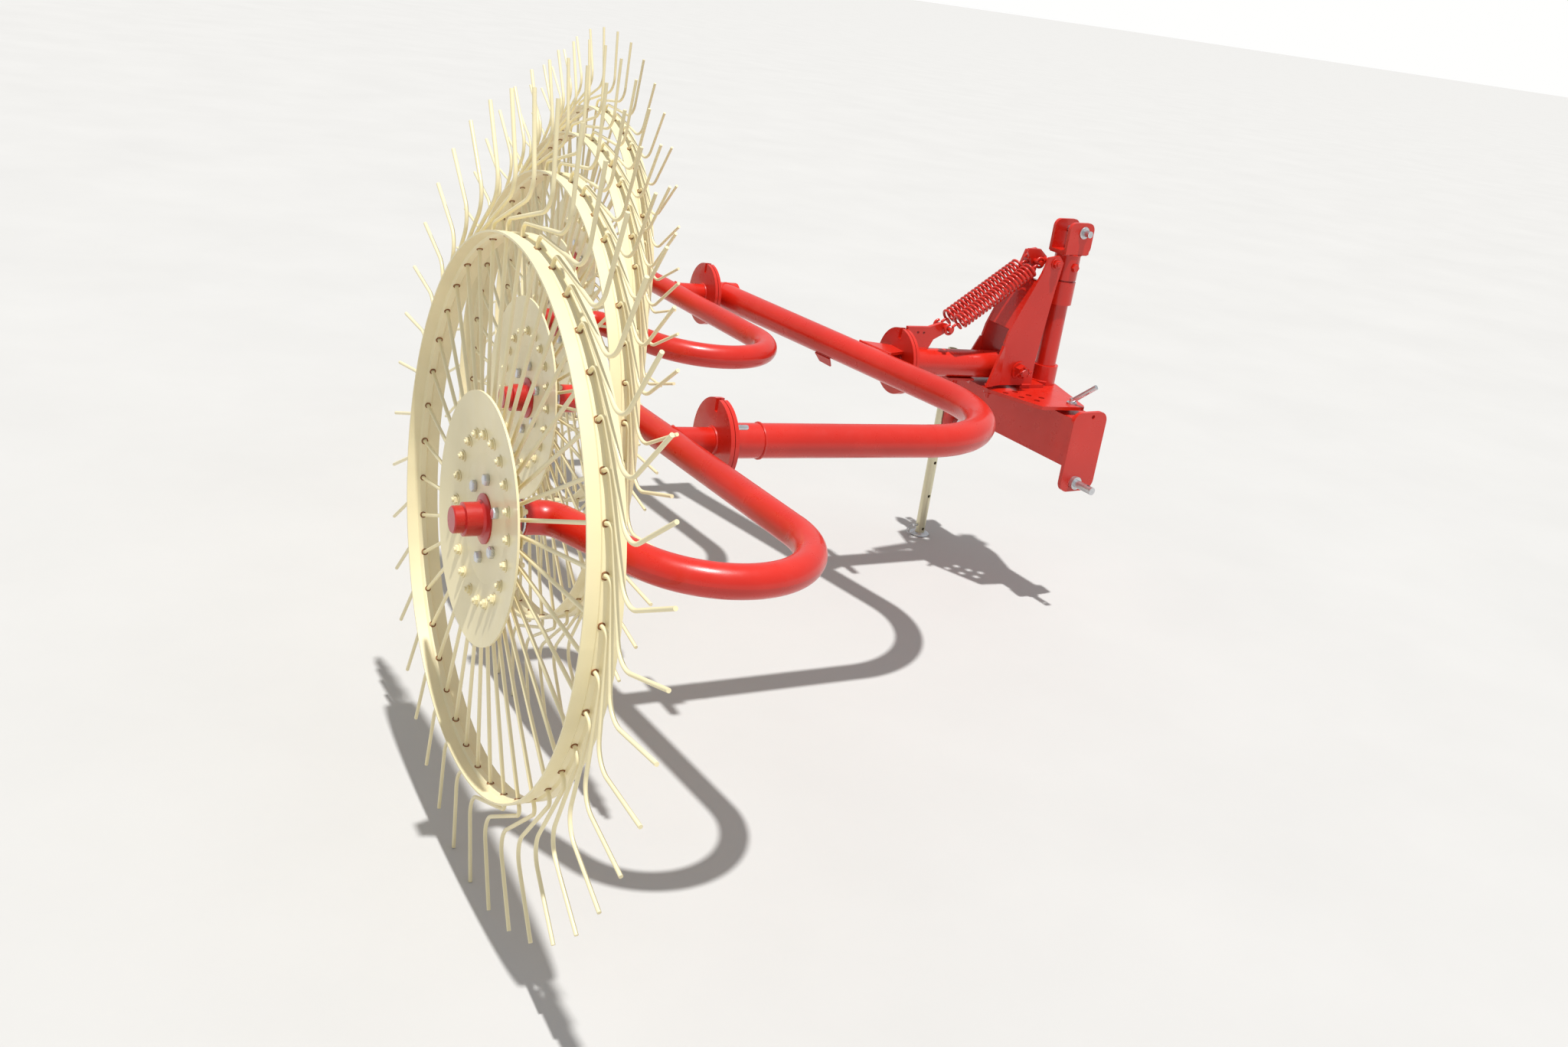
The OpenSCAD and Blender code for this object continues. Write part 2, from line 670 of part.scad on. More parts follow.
module balance_springs() {
    rise = hanger_at[1] - anchor_at[1];
    run = hanger_at[0] - anchor_at[0];
    whole = norm([rise, run]);
    mid_r = spring_d / 2 - spring_wire_d / 2;
    wire = spring_wire_d / 2;
    color(red) at_swing() for (side = [-1, 1])
        translate([anchor_at[0], side * spring_gap / 2, anchor_at[1]]) rotate([0, 90 - atan2(rise, run), 0]) {
            translate([0, 0, hook_len]) coil(whole - 2 * hook_len, spring_coils, mid_r, wire);
            for (end = [hook_len, whole - hook_len]) translate([0, 0, end])
                tube_x(mid_r, wire + 2 * wire_extra, 0, wire_fn);
            for (low = [hook_r, whole - hook_len - wire]) translate([0, 0, low])
                cylinder(h = hook_len - hook_r + wire, r = wire + 4 * wire_extra, $fn = wire_fn);
            for (end = [0, whole]) translate([0, 0, end]) rotate([90, 0, 0])
                rotate_extrude($fn = 48) translate([hook_r, 0]) circle(wire, $fn = wire_fn);
        }
}

// main pipe and its pivots
module main_pipe() {
    far_x = arm_pivot_x + 2 * wheel_step_x + disc_at;
    color(red) at_main() difference() {
        translate([arm_pivot_x + disc_at + sleeve_len, arm_pivot_y, 0])
            pipe_run(main_runs, main_r, main_r - main_wall);
        translate([far_x - cut, arm_pivot_y + pivots_y, 0]) tube_x(far_sleeve_len + 2 * cut, main_r + clear);
    }
}

module centre_stub() {
    saddle = 64;
    leg = arm_pivot_x + main_leg_x;
    face = arm_pivot_x + centre_flange_x;
    color(red) at_main() translate([0, centre_y(), 0]) difference() {
        union() {
            translate([leg, 0, 0]) tube_x(face - disc_at - leg, stub_d / 2);
            translate([face - disc_at, 0, 0]) pivot_disc();
            translate([face - disc_at - cut, 0, 0]) tube_x(100 + cut, pivot_shaft_d / 2);
            for (side = [-1, 1]) translate([leg + 12, 0, side * 32]) linear_extrude(8, center = true)
                polygon([[0, -saddle], [0, saddle], [face - disc_at - leg - 12, 32], [face - disc_at - leg - 12, -32]]);
        }
        translate([leg, 0, 0]) rotate([0, 0, main_turn]) translate([-saddle * 2, 0, 0])
            tube_x(saddle * 4, main_r);
    }
}

module pivot_sleeves() {
    color(red) at_main() {
        translate([arm_pivot_x, arm_pivot_y, 0]) half_pivot(sleeve_len);
        translate([arm_pivot_x + 2 * wheel_step_x, arm_pivot_y + pivots_y, 0]) half_pivot(far_sleeve_len);
    }
}

// disc, sleeve and shaft on the main pipe's side of an arm pivot
module half_pivot(sleeve) {
    translate([pivot_gap / 2, 0, 0]) pivot_disc();
    translate([disc_at, 0, 0]) tube_x(sleeve, main_r, pivot_shaft_d / 2);
    translate([-shaft_reach, 0, 0]) tube_x(shaft_reach + disc_at + min(sleeve, 60), pivot_shaft_d / 2);
}

module arm(first) {
    color(red) at_arm(first) translate([spindle_len, 0, 0]) pipe_run(arm_runs, arm_r, arm_r - arm_wall);
}

module arm_stub(first) {
    color(red) at_arm(first) translate([0, arm_pivot_y, 0]) difference() {
        union() {
            translate([arm_leg_x, 0, 0]) tube_x(arm_pivot_x - disc_at - arm_leg_x, stub_d / 2);
            translate([arm_pivot_x - disc_at, 0, 0]) pivot_disc();
        }
        translate([arm_leg_x, 0, 0]) rotate([0, 0, arm_heading]) translate([-100, 0, 0]) tube_x(200, arm_r);
        translate([arm_pivot_x - shaft_reach - 2, 0, 0]) tube_x(shaft_reach + 2 + cut, pivot_shaft_d / 2 + running);
    }
}

module spindles(first) {
    collar = 5;
    color(zinc) at_arm(first) for (n = [0, 1]) translate([n * wheel_step_x, n * wheel_step_y, 0]) {
        translate([-57, 0, 0]) tube_x(57 + spindle_len, spindle_d / 2);
        translate([spindle_len - collar, 0, 0]) tube_x(collar, arm_r);
    }
}

// raking wheels
module hub(k) {
    back = -28;
    seat = disc_front - disc_t;
    bore_end = 61;
    color(red) at_wheel(k) difference() {
        rotate_extrude($fn = plate_fn) polygon([[0, back], [38, back], [38, seat - 9], [bolt_ring_r + 14, seat - 9],
            [bolt_ring_r + 14, seat], [36, seat], [36, disc_front], [cap_flange_d / 2, disc_front],
            [cap_flange_d / 2, disc_front + 3], [cap_d / 2 + 4, disc_front + 6], [cap_d / 2, disc_front + 10],
            [cap_d / 2, 62], [nose_d / 2, 64], [nose_d / 2, 79], [nose_d / 2 - 2, 81], [0, 81]]);
        translate([0, 0, back - cut]) cylinder(h = bore_end - back + cut, r = spindle_d / 2 + running, $fn = pipe_fn);
        ring_holes(bolt_count, bolt_ring_r, 6);
    }
}

module ring_holes(count, ring_r, r) {
    for (n = [0:count - 1]) rotate([0, 0, (n + 0.5) * 360 / count]) translate([ring_r, 0, -40])
        cylinder(h = 100, r = r, $fn = 24);
}

module disc(k) {
    low = disc_front - disc_t;
    color(cream) at_wheel(k) difference() {
        rotate_extrude($fn = plate_fn) polygon([[36 + clear, low], [disc_flat_r, low], [disc_r, low + disc_dish],
            [disc_r, disc_front + disc_dish], [disc_flat_r, disc_front], [36 + clear, disc_front]]);
        ring_holes(bolt_count, bolt_ring_r, 6.5);
        ring_holes(tine_count / 2, clip_ring_r, 5);
    }
}

module rim(k) {
    flat = rim_r + rim_groove;
    half = rim_w / 2;
    color(cream) at_wheel(k) difference() {
        rotate_extrude($fn = 2 * plate_fn) polygon([[rim_r, -5], [flat, -9], [flat, -half], [flat + rim_t, -half],
            [flat + rim_t, -9], [rim_r + rim_t, -5], [rim_r + rim_t, 5], [flat + rim_t, 9],
            [flat + rim_t, half], [flat, half], [flat, 9], [rim_r, 5]]);
        for (t = tip_angles) rotate([0, 0, t]) translate([0, 0, apex_z]) rotate([0, 90 + tine_lean, 0])
            translate([0, 0, rim_r - 30]) cylinder(h = 60, r = wire_r + clear, $fn = wire_fn);
    }
}

// two tines are one wire, looped round a clip bolt behind the disc
module tine_pair() {
    for (side = [-1, 1]) rotate([0, 0, side * tine_step / 2]) translate([0, 0, apex_z]) rotate([0, tine_lean, 0])
        translate([wire_start, 0, 0]) pipe_run(tine_runs, wire_r, 0, wire_fn, wire_dip);
    translate([0, 0, apex_z]) rotate([0, pair_slope, 0]) translate([loop_at, 0, 0])
        rotate([0, 0, 90 + pair_half]) rotate_extrude(angle = 180 - 2 * pair_half, $fn = 2 * wire_fn)
        translate([loop_r, 0]) circle(wire_r + wire_extra, $fn = wire_fn);
}

module tines(k) {
    color(cream) at_wheel(k) for (n = [0:tine_count / 2 - 1])
        rotate([0, 0, wheel_phase + (2 * n + 0.5) * tine_step]) tine_pair();
}

module near_arm() { arm(0); }
module near_arm_stub() { arm_stub(0); }
module near_spindles() { spindles(0); }
module far_arm() { arm(2); }
module far_arm_stub() { arm_stub(2); }
module far_spindles() { spindles(2); }
module hub_1() { hub(0); }
module disc_1() { disc(0); }
module rim_1() { rim(0); }
module tines_1() { tines(0); }
module hub_2() { hub(1); }
module disc_2() { disc(1); }
module rim_2() { rim(1); }
module tines_2() { tines(1); }
module hub_3() { hub(2); }
module disc_3() { disc(2); }
module rim_3() { rim(2); }
module tines_3() { tines(2); }
module hub_4() { hub(3); }
module disc_4() { disc(3); }
module rim_4() { rim(3); }
module tines_4() { tines(3); }

hitch_beam();
end_plates();
lower_pins();
index_plate();
index_pin();
mast_post();
top_clevis();
top_link_pin();
stand_socket();
mast_sleeves();
side_plates();
swing_web();
pivot_bolt();
spring_hanger();
centre_tube();
spring_anchor();
balance_springs();
main_pipe();
centre_stub();
pivot_sleeves();
near_arm();
near_arm_stub();
near_spindles();
far_arm();
far_arm_stub();
far_spindles();
hub_1();
disc_1();
rim_1();
tines_1();
hub_2();
disc_2();
rim_2();
tines_2();
hub_3();
disc_3();
rim_3();
tines_3();
hub_4();
disc_4();
rim_4();
tines_4();
stand_leg();
stand_foot();
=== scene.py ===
"""Finishes, fastenings, springs and welds of a four-wheel rotary hay rake, with its stage."""

import json
import math

import bmesh
import bpy
from bpy.props import FloatProperty, FloatVectorProperty, IntProperty, PointerProperty
from mathutils import Matrix, Vector


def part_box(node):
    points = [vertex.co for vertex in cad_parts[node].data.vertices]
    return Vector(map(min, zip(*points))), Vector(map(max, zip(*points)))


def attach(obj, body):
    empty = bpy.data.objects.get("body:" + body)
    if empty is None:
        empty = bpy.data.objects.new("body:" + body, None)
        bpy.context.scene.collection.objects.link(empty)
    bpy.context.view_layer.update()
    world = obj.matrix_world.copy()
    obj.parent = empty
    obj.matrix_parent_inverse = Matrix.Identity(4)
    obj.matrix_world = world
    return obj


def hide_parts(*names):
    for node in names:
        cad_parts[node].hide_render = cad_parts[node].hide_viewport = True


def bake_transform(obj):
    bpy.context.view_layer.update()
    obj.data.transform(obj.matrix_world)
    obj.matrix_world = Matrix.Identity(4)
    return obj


bl_info = {
    "name": "Hay Rake Dressing",
    "version": (1, 0, 0),
    "blender": (4, 5, 0),
    "location": "View3D > Sidebar > Hay Rake",
    "description": "Paint, bolts, pins, springs and weld beads for a rotary hay rake",
    "category": "Object",
}

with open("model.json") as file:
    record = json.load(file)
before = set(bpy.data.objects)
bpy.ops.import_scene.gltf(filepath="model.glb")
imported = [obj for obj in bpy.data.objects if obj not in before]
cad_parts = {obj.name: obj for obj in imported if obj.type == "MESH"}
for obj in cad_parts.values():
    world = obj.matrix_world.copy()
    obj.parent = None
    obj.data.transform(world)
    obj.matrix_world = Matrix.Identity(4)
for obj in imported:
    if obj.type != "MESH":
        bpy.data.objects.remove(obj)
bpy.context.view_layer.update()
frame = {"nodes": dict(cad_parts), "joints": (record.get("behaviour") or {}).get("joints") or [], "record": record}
JOINTS = {joint["name"]: joint for joint in frame["joints"]}

FULL_TURN = 2 * math.pi
SHARP_ANGLE = math.radians(38)

# raking wheels, heights from the tines' plane toward the hub's cap
WHEELS = (1, 2, 3, 4)
TINES_PER_WHEEL = 40
TINE_STEP = FULL_TURN / TINES_PER_WHEEL
FIRST_TINE = math.radians(291.99)
RIM_INSIDE = 0.4676
RIM_OUTSIDE = 0.4718
RUST_RADIUS = 0.0052
RUST_SPREAD = 0.0005
HUB_BOLTS = 6
HUB_BOLT_RING = 0.070
HUB_BACK = 0.012
CLIP_RING = 0.143
DISC_FRONT = 0.025
DISC_FLAT = 0.110
DISC_RADIUS = 0.215
DISC_DISH = 0.015
CLIP_FRONT = DISC_FRONT + DISC_DISH * (CLIP_RING - DISC_FLAT) / (DISC_RADIUS - DISC_FLAT)
WIRE_BACK = 0.0128

# linkage from the first hub, A along the axles and W along the row
ARM_RADIUS = 0.03015
MAIN_RADIUS = 0.03805
STUB_RADIUS = 0.0285
PIVOT_A = 0.590
PIVOT_W = 0.384
STEP_A = 0.289
STEP_W = 0.648
DISC_FACE = 0.00975
SLEEVE = 0.092
ARM_LEG_A = 0.478854
ARM_HEADING = math.radians(95.5)
MAIN_LEG_A = PIVOT_A + 0.767837
MAIN_HEADING = math.radians(101.5)
CENTRE_A = PIVOT_A + 0.872
CENTRE_W = 1.032
COLLAR_FACE = 0.0405
SADDLE_HALF_WIDTH = 0.032
SADDLE_HALF_LENGTH = 0.062

# pivot bolt and mast, from the ground under the mast
PIVOT_BOLT_X = -0.140
PIVOT_BOLT_Z = 0.654
PIVOT_BOLT_END = 0.0825
SPLIT_PIN_AT = 0.0862
SPLIT_PIN_WIRE = 0.0017
CROWN_INSIDE = 0.0124
CROWN_OUTSIDE = 0.0164
SIDE_BOLT_AT = (-0.084, 0.0575, 0.964)
MAST_BOLT_AT = (0, 0.0368, 0.951)
TAIL_BOLT_AT = (-0.226, -0.024)
TAIL_TOP = 0.600
TAIL_UNDER = 0.590
SLEEVE_FOOT = 0.6108
MAST_HEAD = 0.985
CLEVIS_FACE = 0.0358

# stand
STAND_PIN_HEIGHT = 0.034
STAND_SCREW_HEIGHT = 0.520

# balance springs, with the places of their rods from the ground under the mast
SPRING_WIRE = 0.0039
SPRING_RADIUS = 0.0196
SPRING_COILS = 21
SPRING_ASIDE = 0.0275
TURN_POINTS = 28
HOOK_RADIUS = 0.013
HOOK_LENGTH = 0.034
HOOK_START = -220
HOOK_SWEEP = 310
NECK = ((0, 0.020), (0, 0.028), (0.004, 0.0325), (0.012, 0.0338))
ANCHOR_AT = (-0.388, 0.764)
HANGER_AT = (-0.118, 0.960)

# camera
SENSOR_WIDTH = 36.0
CAMERA_AT = (-1.8965, -3.0232, 1.6097)
CAMERA_YAW = math.radians(55.04)
CAMERA_PITCH = math.radians(20.922)
CAMERA_ROLL = math.radians(8.39)


# places


def joint_place(name):
    return Vector(JOINTS[name]["pos_m"])


def joint_axis(name):
    return Vector(JOINTS[name]["axis"]).normalized()


def axes_matrix(origin, across, forward, upward):
    turned = Matrix((across, forward, upward)).transposed().to_4x4()
    return Matrix.Translation(origin) @ turned


def at(place, x, y, z):
    """A place moved along its own axes."""
    return place @ Matrix.Translation((x, y, z))


def rotation(degrees, axis):
    return Matrix.Rotation(math.radians(degrees), 4, axis)


def aim(direction):
    """Rotation that takes +Z to a direction."""
    return Vector(direction).to_track_quat("Z", "Y").to_matrix().to_4x4()


def wheel_matrix(k):
    """Frame of a raking wheel with its cap side along +Z."""
    return axes_matrix(HUBS[k - 1], -MAIN_Y, MAIN_Z, -MAIN_X)


HUBS = [joint_place("wheel_%d_spin" % k) for k in WHEELS]
MAIN_X = joint_axis("main_teeter")
MAIN_Z = MAIN_X.cross(HUBS[3] - HUBS[0]).normalized()
MAIN_Y = MAIN_Z.cross(MAIN_X)
FLOAT_Y = joint_axis("float")
UP = Vector((0, 0, 1))
MAST = Vector((joint_place("swing").x, joint_place("swing").y, 0))
LINK = axes_matrix(HUBS[0], MAIN_X, MAIN_Y, MAIN_Z)
FLOAT = axes_matrix(joint_place("float"), MAIN_X, FLOAT_Y, MAIN_X.cross(FLOAT_Y))
SWING = axes_matrix(MAST, FLOAT_Y.cross(UP), FLOAT_Y, UP)
HITCH = Matrix.Translation(MAST)
FLIP = rotation(180, "X")


# mesh tools


def on_circle(radius, turn, height=0.0):
    return Vector((radius * math.cos(turn), radius * math.sin(turn), height))


def add_revolved(mesh, profile, place, sides=32):
    """Skin of a profile of radius and height pairs turned about +Z, closed at both ends."""
    rings = []
    for radius, height in profile:
        if radius < 1e-6:
            rings.append([mesh.verts.new(place @ Vector((0, 0, height)))])
            continue
        turns = [FULL_TURN * i / sides for i in range(sides)]
        rings.append([mesh.verts.new(place @ on_circle(radius, turn, height)) for turn in turns])
    for low, high in zip(rings, rings[1:]):
        for i in range(sides):
            j = (i + 1) % sides
            corners = [low[i % len(low)], low[j % len(low)], high[j % len(high)], high[i % len(high)]]
            unique = list(dict.fromkeys(corners))
            if len(unique) > 2:
                mesh.faces.new(unique)
    if len(rings[0]) > 1:
        mesh.faces.new(rings[0][::-1])
    if len(rings[-1]) > 1:
        mesh.faces.new(rings[-1])


def add_washer(mesh, place, radius, thick, sides=28):
    """Washer with rounded-off edges."""
    edge = min(thick, radius) * 0.3
    rows = [(radius - edge, 0), (radius, edge), (radius, thick - edge), (radius - edge, thick)]
    add_revolved(mesh, rows, place, sides)


def add_hexagon(mesh, place, across, height):
    """Hexagonal head with a rounded-off top edge."""
    corner = across / math.sqrt(3)
    rows = [(corner * 0.96, 0), (corner, height * 0.08), (corner, height * 0.78), (corner * 0.86, height)]
    add_revolved(mesh, rows, place, 6)


def add_bolt(mesh, place, across, height, washer_radius=0.0, washer_thick=0.002, dome=0.0):
    """Hexagonal head, on a washer where it has one, seated on the plane z = 0 of its place."""
    base = 0.0
    if washer_radius > 0:
        add_washer(mesh, place, washer_radius, washer_thick)
        base = washer_thick
    lifted = at(place, 0, 0, base - 0.0002)
    add_hexagon(mesh, lifted, across, height)
    if dome > 0:
        radius = across * 0.3
        top = height + dome
        rows = [(radius, height - 0.001), (radius, height + dome * 0.7), (radius * 0.8, top), (0, top)]
        add_revolved(mesh, rows, lifted, 20)


def path_sides(path, closed):
    """Two side directions at each point of a path, turned as little as possible."""
    count = len(path)
    tangents = []
    for i in range(count):
        before = path[i - 1] if i > 0 or closed else path[i]
        after = path[(i + 1) % count] if i < count - 1 or closed else path[i]
        tangents.append((after - before).normalized())
    side = tangents[0].orthogonal().normalized()
    sides = []
    for tangent in tangents:
        side = (side - tangent * side.dot(tangent)).normalized()
        sides.append((side, tangent.cross(side)))
    return sides


def add_rod(mesh, path, radius, sides=12, closed=False, ripple=0.0):
    """Round bar or bead along a path; ripple swells every other ring."""
    path = [Vector(point) for point in path]
    rings = []
    for i, (side, other) in enumerate(path_sides(path, closed)):
        swell = radius * (1 + ripple * (1 if i % 2 else -1))
        ring = []
        for s in range(sides):
            turn = FULL_TURN * s / sides
            outward = side * math.cos(turn) + other * math.sin(turn)
            ring.append(mesh.verts.new(path[i] + outward * swell))
        rings.append(ring)
    last = len(rings) if closed else len(rings) - 1
    for i in range(last):
        low = rings[i]
        high = rings[(i + 1) % len(rings)]
        shift = 0
        if closed and i == len(rings) - 1:
            shift = min(range(sides), key=lambda n: (high[n].co - low[0].co).length)
        for s in range(sides):
            t = (s + 1) % sides
            mesh.faces.new((low[s], low[t], high[(t + shift) % sides], high[(s + shift) % sides]))
    if not closed:
        mesh.faces.new(rings[0][::-1])
        mesh.faces.new(rings[-1])


def arc(place, radius, start=0.0, end=FULL_TURN, count=48):
    """Points on a circle of a place's XY plane."""
    steps = count if abs(end - start) > 6.28 else count - 1
    turns = [start + (end - start) * i / steps for i in range(count)]
    return [place @ on_circle(radius, turn) for turn in turns]


def dense(points, step):
    """Points along a broken line at about one step's distance."""
    out = []
    for a, b in zip(points, points[1:]):
        parts = max(1, round((b - a).length / step))
        out += [a.lerp(b, i / parts) for i in range(parts)]
    out.append(points[-1])
    return out


def add_bead(mesh, points, radius, closed=False):
    """Weld bead with its ripples along a line."""
    path = list(points) + ([points[0]] if closed else [])
    path = dense(path, radius * 0.8)
    if closed:
        path = path[:-1]
        if len(path) % 2:
            path = path[:-1]
    add_rod(mesh, path, radius, 8, closed, 0.09)


def add_plate(mesh, outline, thick, place):
    """Flat plate with slightly rounded edges, from an outline in the place's XY plane."""
    part = bmesh.new()
    low = [part.verts.new((x, y, 0)) for x, y in outline]
    high = [part.verts.new((x, y, thick)) for x, y in outline]
    part.faces.new(low[::-1])
    part.faces.new(high)
    for i in range(len(outline)):
        j = (i + 1) % len(outline)
        part.faces.new((low[i], low[j], high[j], high[i]))
    bmesh.ops.bevel(part, geom=part.edges[:], offset=thick * 0.15, segments=2, affect="EDGES")
    bmesh.ops.transform(part, matrix=place, verts=part.verts)
    copy = bpy.data.meshes.new("plate_part")
    part.to_mesh(copy)
    part.free()
    mesh.from_mesh(copy)
    bpy.data.meshes.remove(copy)


def saddle_line(place, pipe, branch, heading, count=72):
    """Curve where a branch along +X leaves a pipe that lies in the XY plane at a heading."""
    lean_sin = math.sin(heading)
    lean_cos = math.cos(heading)
    points = []
    for i in range(count):
        turn = FULL_TURN * i / count
        y = branch * math.cos(turn)
        z = branch * math.sin(turn)
        depth = math.sqrt(max(pipe * pipe - z * z, 0))
        points.append(place @ Vector(((y * lean_cos + depth) / lean_sin, y, z)))
    return points


def make_piece(name, mesh, material, body):
    """Turn a bmesh into an object that rides on a body, or on none."""
    bmesh.ops.recalc_face_normals(mesh, faces=mesh.faces)
    data = bpy.data.meshes.new(name)
    mesh.to_mesh(data)
    mesh.free()
    data.shade_smooth()
    data.set_sharp_from_angle(angle=SHARP_ANGLE)
    piece = bpy.data.objects.new(name, data)
    bpy.context.collection.objects.link(piece)
    data.materials.append(bpy.data.materials[material])
    if body:
        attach(piece, body)
    return piece


def make_red_piece(name, mesh, body):
    return make_piece(name, mesh, "frame_red_paint", body)


# finishes


def new_material(name):
    material = bpy.data.materials.new(name)
    material.use_nodes = True
    tree = material.node_tree
    return material, tree, tree.nodes["Principled BSDF"]


def add_noise(tree, scale, detail=6.0, roughness=0.6, distortion=0.0):
    place = tree.nodes.new("ShaderNodeTexCoord")
    noise = tree.nodes.new("ShaderNodeTexNoise")
    noise.inputs["Scale"].default_value = scale
    noise.inputs["Detail"].default_value = detail
    noise.inputs["Roughness"].default_value = roughness
    noise.inputs["Distortion"].default_value = distortion
    tree.links.new(place.outputs["Object"], noise.inputs["Vector"])
    return noise.outputs["Fac"]


def add_range(tree, value, low, high, to_low, to_high):
    node = tree.nodes.new("ShaderNodeMapRange")
    node.inputs["From Min"].default_value = low
    node.inputs["From Max"].default_value = high
    node.inputs["To Min"].default_value = to_low
    node.inputs["To Max"].default_value = to_high
    tree.links.new(value, node.inputs["Value"])
    return node.outputs["Result"]


def add_mix(tree, factor, first, second):
    """Colour mix; first and second are sockets or colours."""
    node = tree.nodes.new("ShaderNodeMix")
    node.data_type = "RGBA"
    tree.links.new(factor, node.inputs["Factor"])
    for socket, value in ((node.inputs[6], first), (node.inputs[7], second)):
        if isinstance(value, bpy.types.NodeSocket):
            tree.links.new(value, socket)
        else:
            socket.default_value = (*value[:3], 1)
    return node.outputs[2]


def add_bump(tree, shader, heights):
    """Stack of bumps from height, distance and strength rows."""
    normal = None
    for height, distance, strength in heights:
        bump = tree.nodes.new("ShaderNodeBump")
        bump.inputs["Distance"].default_value = distance
        bump.inputs["Strength"].default_value = strength
        tree.links.new(height, bump.inputs["Height"])
        if normal:
            tree.links.new(normal, bump.inputs["Normal"])
        normal = bump.outputs["Normal"]
    tree.links.new(normal, shader.inputs["Normal"])


def shade(colour, amount):
    return tuple(min(1.0, channel * amount) for channel in colour[:3])


def make_paint(name, colour, gloss_low, gloss_high, coat, chip, dust_amount, chip_edge):
    """Sprayed paint: drifting tone, a film of dust, small chips, orange peel and slight sags."""
    material, tree, shader = new_material(name)
    dust = (0.62, 0.56, 0.46)
    broad = add_range(tree, add_noise(tree, 3.5, 3), 0.35, 0.65, 0, 1)
    tone = add_mix(tree, broad, shade(colour, 0.9), shade(colour, 1.06))
    cloud = add_noise(tree, 14, 8, 0.7, 0.4)
    dusty = add_mix(tree, add_range(tree, cloud, 0.5, 0.85, 0, dust_amount), tone, dust)
    speck = add_range(tree, add_noise(tree, 95, 9, 0.75, 0.2), chip_edge, chip_edge + 0.02, 0, 1)
    tree.links.new(add_mix(tree, speck, dusty, chip), shader.inputs["Base Color"])
    smear = add_noise(tree, 26, 6, 0.65)
    gloss = add_range(tree, smear, 0.3, 0.75, gloss_low, gloss_high)
    tree.links.new(gloss, shader.inputs["Roughness"])
    shader.inputs["Coat Weight"].default_value = coat
    shader.inputs["Coat Roughness"].default_value = 0.08
    peel = add_noise(tree, 420, 2, 0.4)
    sag = add_noise(tree, 38, 3, 0.5)
    add_bump(tree, shader, [(peel, 0.0003, 0.22), (sag, 0.0012, 0.12)])


def make_plated(name, colour, tint, dull_low, dull_high, stain):
    """Plated steel: faint crystal patches, turning marks, grey or yellow stains."""
    material, tree, shader = new_material(name)
    shader.inputs["Metallic"].default_value = 0.9
    patch = add_range(tree, add_noise(tree, 60, 4, 0.5, 0.8), 0.4, 0.6, 0, 1)
    tone = add_mix(tree, patch, colour, tint)
    spot = add_range(tree, add_noise(tree, 130, 8, 0.7), 0.6, 0.72, 0, 0.7)
    tree.links.new(add_mix(tree, spot, tone, stain), shader.inputs["Base Color"])
    smear = add_noise(tree, 45, 6, 0.6)
    dull = add_range(tree, smear, 0.3, 0.7, dull_low, dull_high)
    tree.links.new(dull, shader.inputs["Roughness"])
    marks = add_noise(tree, 700, 3, 0.5)
    add_bump(tree, shader, [(marks, 0.0002, 0.3)])


def make_rust(name, colour, tint):
    """Rough brown rust in two tones."""
    material, tree, shader = new_material(name)
    patch = add_range(tree, add_noise(tree, 180, 8, 0.7), 0.35, 0.65, 0, 1)
    tree.links.new(add_mix(tree, patch, colour, tint), shader.inputs["Base Color"])
    tree.links.new(add_range(tree, patch, 0, 1, 0.7, 0.95), shader.inputs["Roughness"])
    scale = add_noise(tree, 900, 5, 0.7)
    add_bump(tree, shader, [(scale, 0.0005, 0.6)])


class RakeFinishSettings(bpy.types.PropertyGroup):
    """Colours of the rake's finishes."""

    frame_red: FloatVectorProperty(
        name="Frame Red",
        description="Red paint of the pipes, plates and springs",
        subtype="COLOR",
        size=3,
        min=0,
        max=1,
        default=(0.58, 0.014, 0.004),
    )
    # Darker copy of the frame red: the darkening is painted shade on the hubs and their caps
    hub_colour_with_painted_shade: FloatVectorProperty(
        name="Hub Red",
        description="Darker red paint of the wheel hubs and their caps",
        subtype="COLOR",
        size=3,
        min=0,
        max=1,
        default=(0.5, 0.014, 0.01),
    )
    wheel_cream: FloatVectorProperty(
        name="Wheel Cream",
        description="Cream paint of the discs, rims and tines",
        subtype="COLOR",
        size=3,
        min=0,
        max=1,
        default=(0.85, 0.75, 0.46),
    )
    zinc_grey: FloatVectorProperty(
        name="Zinc",
        description="Bright zinc plating of pins and hub bolts",
        subtype="COLOR",
        size=3,
        min=0,
        max=1,
        default=(0.66, 0.67, 0.69),
    )
    zinc_yellow: FloatVectorProperty(
        name="Yellow Zinc",
        description="Yellowish plating of the stand leg",
        subtype="COLOR",
        size=3,
        min=0,
        max=1,
        default=(0.62, 0.55, 0.38),
    )


class RakeFasteningSettings(bpy.types.PropertyGroup):
    """Sizes of the rake's bolts, pins and weld beads."""

    hub_bolt_width: FloatProperty(
        name="Hub Bolt Width",
        description="Width across the flats of the hub bolts",
        subtype="DISTANCE",
        unit="LENGTH",
        min=0.012,
        max=0.024,
        default=0.018,
    )
    clip_bolt_width: FloatProperty(
        name="Clip Bolt Width",
        description="Width across the flats of the bolts that hold the tine pairs",
        subtype="DISTANCE",
        unit="LENGTH",
        min=0.01,
        max=0.018,
        default=0.014,
    )
    clip_bolts: IntProperty(
        name="Clip Bolts",
        description="Number of bolts that hold the tine pairs of one wheel",
        min=10,
        max=24,
        default=20,
    )
    frame_bolt_width: FloatProperty(
        name="Frame Bolt Width",
        description="Width across the flats of the bolts on the mast and side plates",
        subtype="DISTANCE",
        unit="LENGTH",
        min=0.016,
        max=0.03,
        default=0.022,
    )
    bead_radius: FloatProperty(
        name="Weld Bead Radius",
        description="Radius of the weld beads between pipes, discs and plates",
        subtype="DISTANCE",
        unit="LENGTH",
        min=0.002,
        max=0.006,
        default=0.0038,
    )


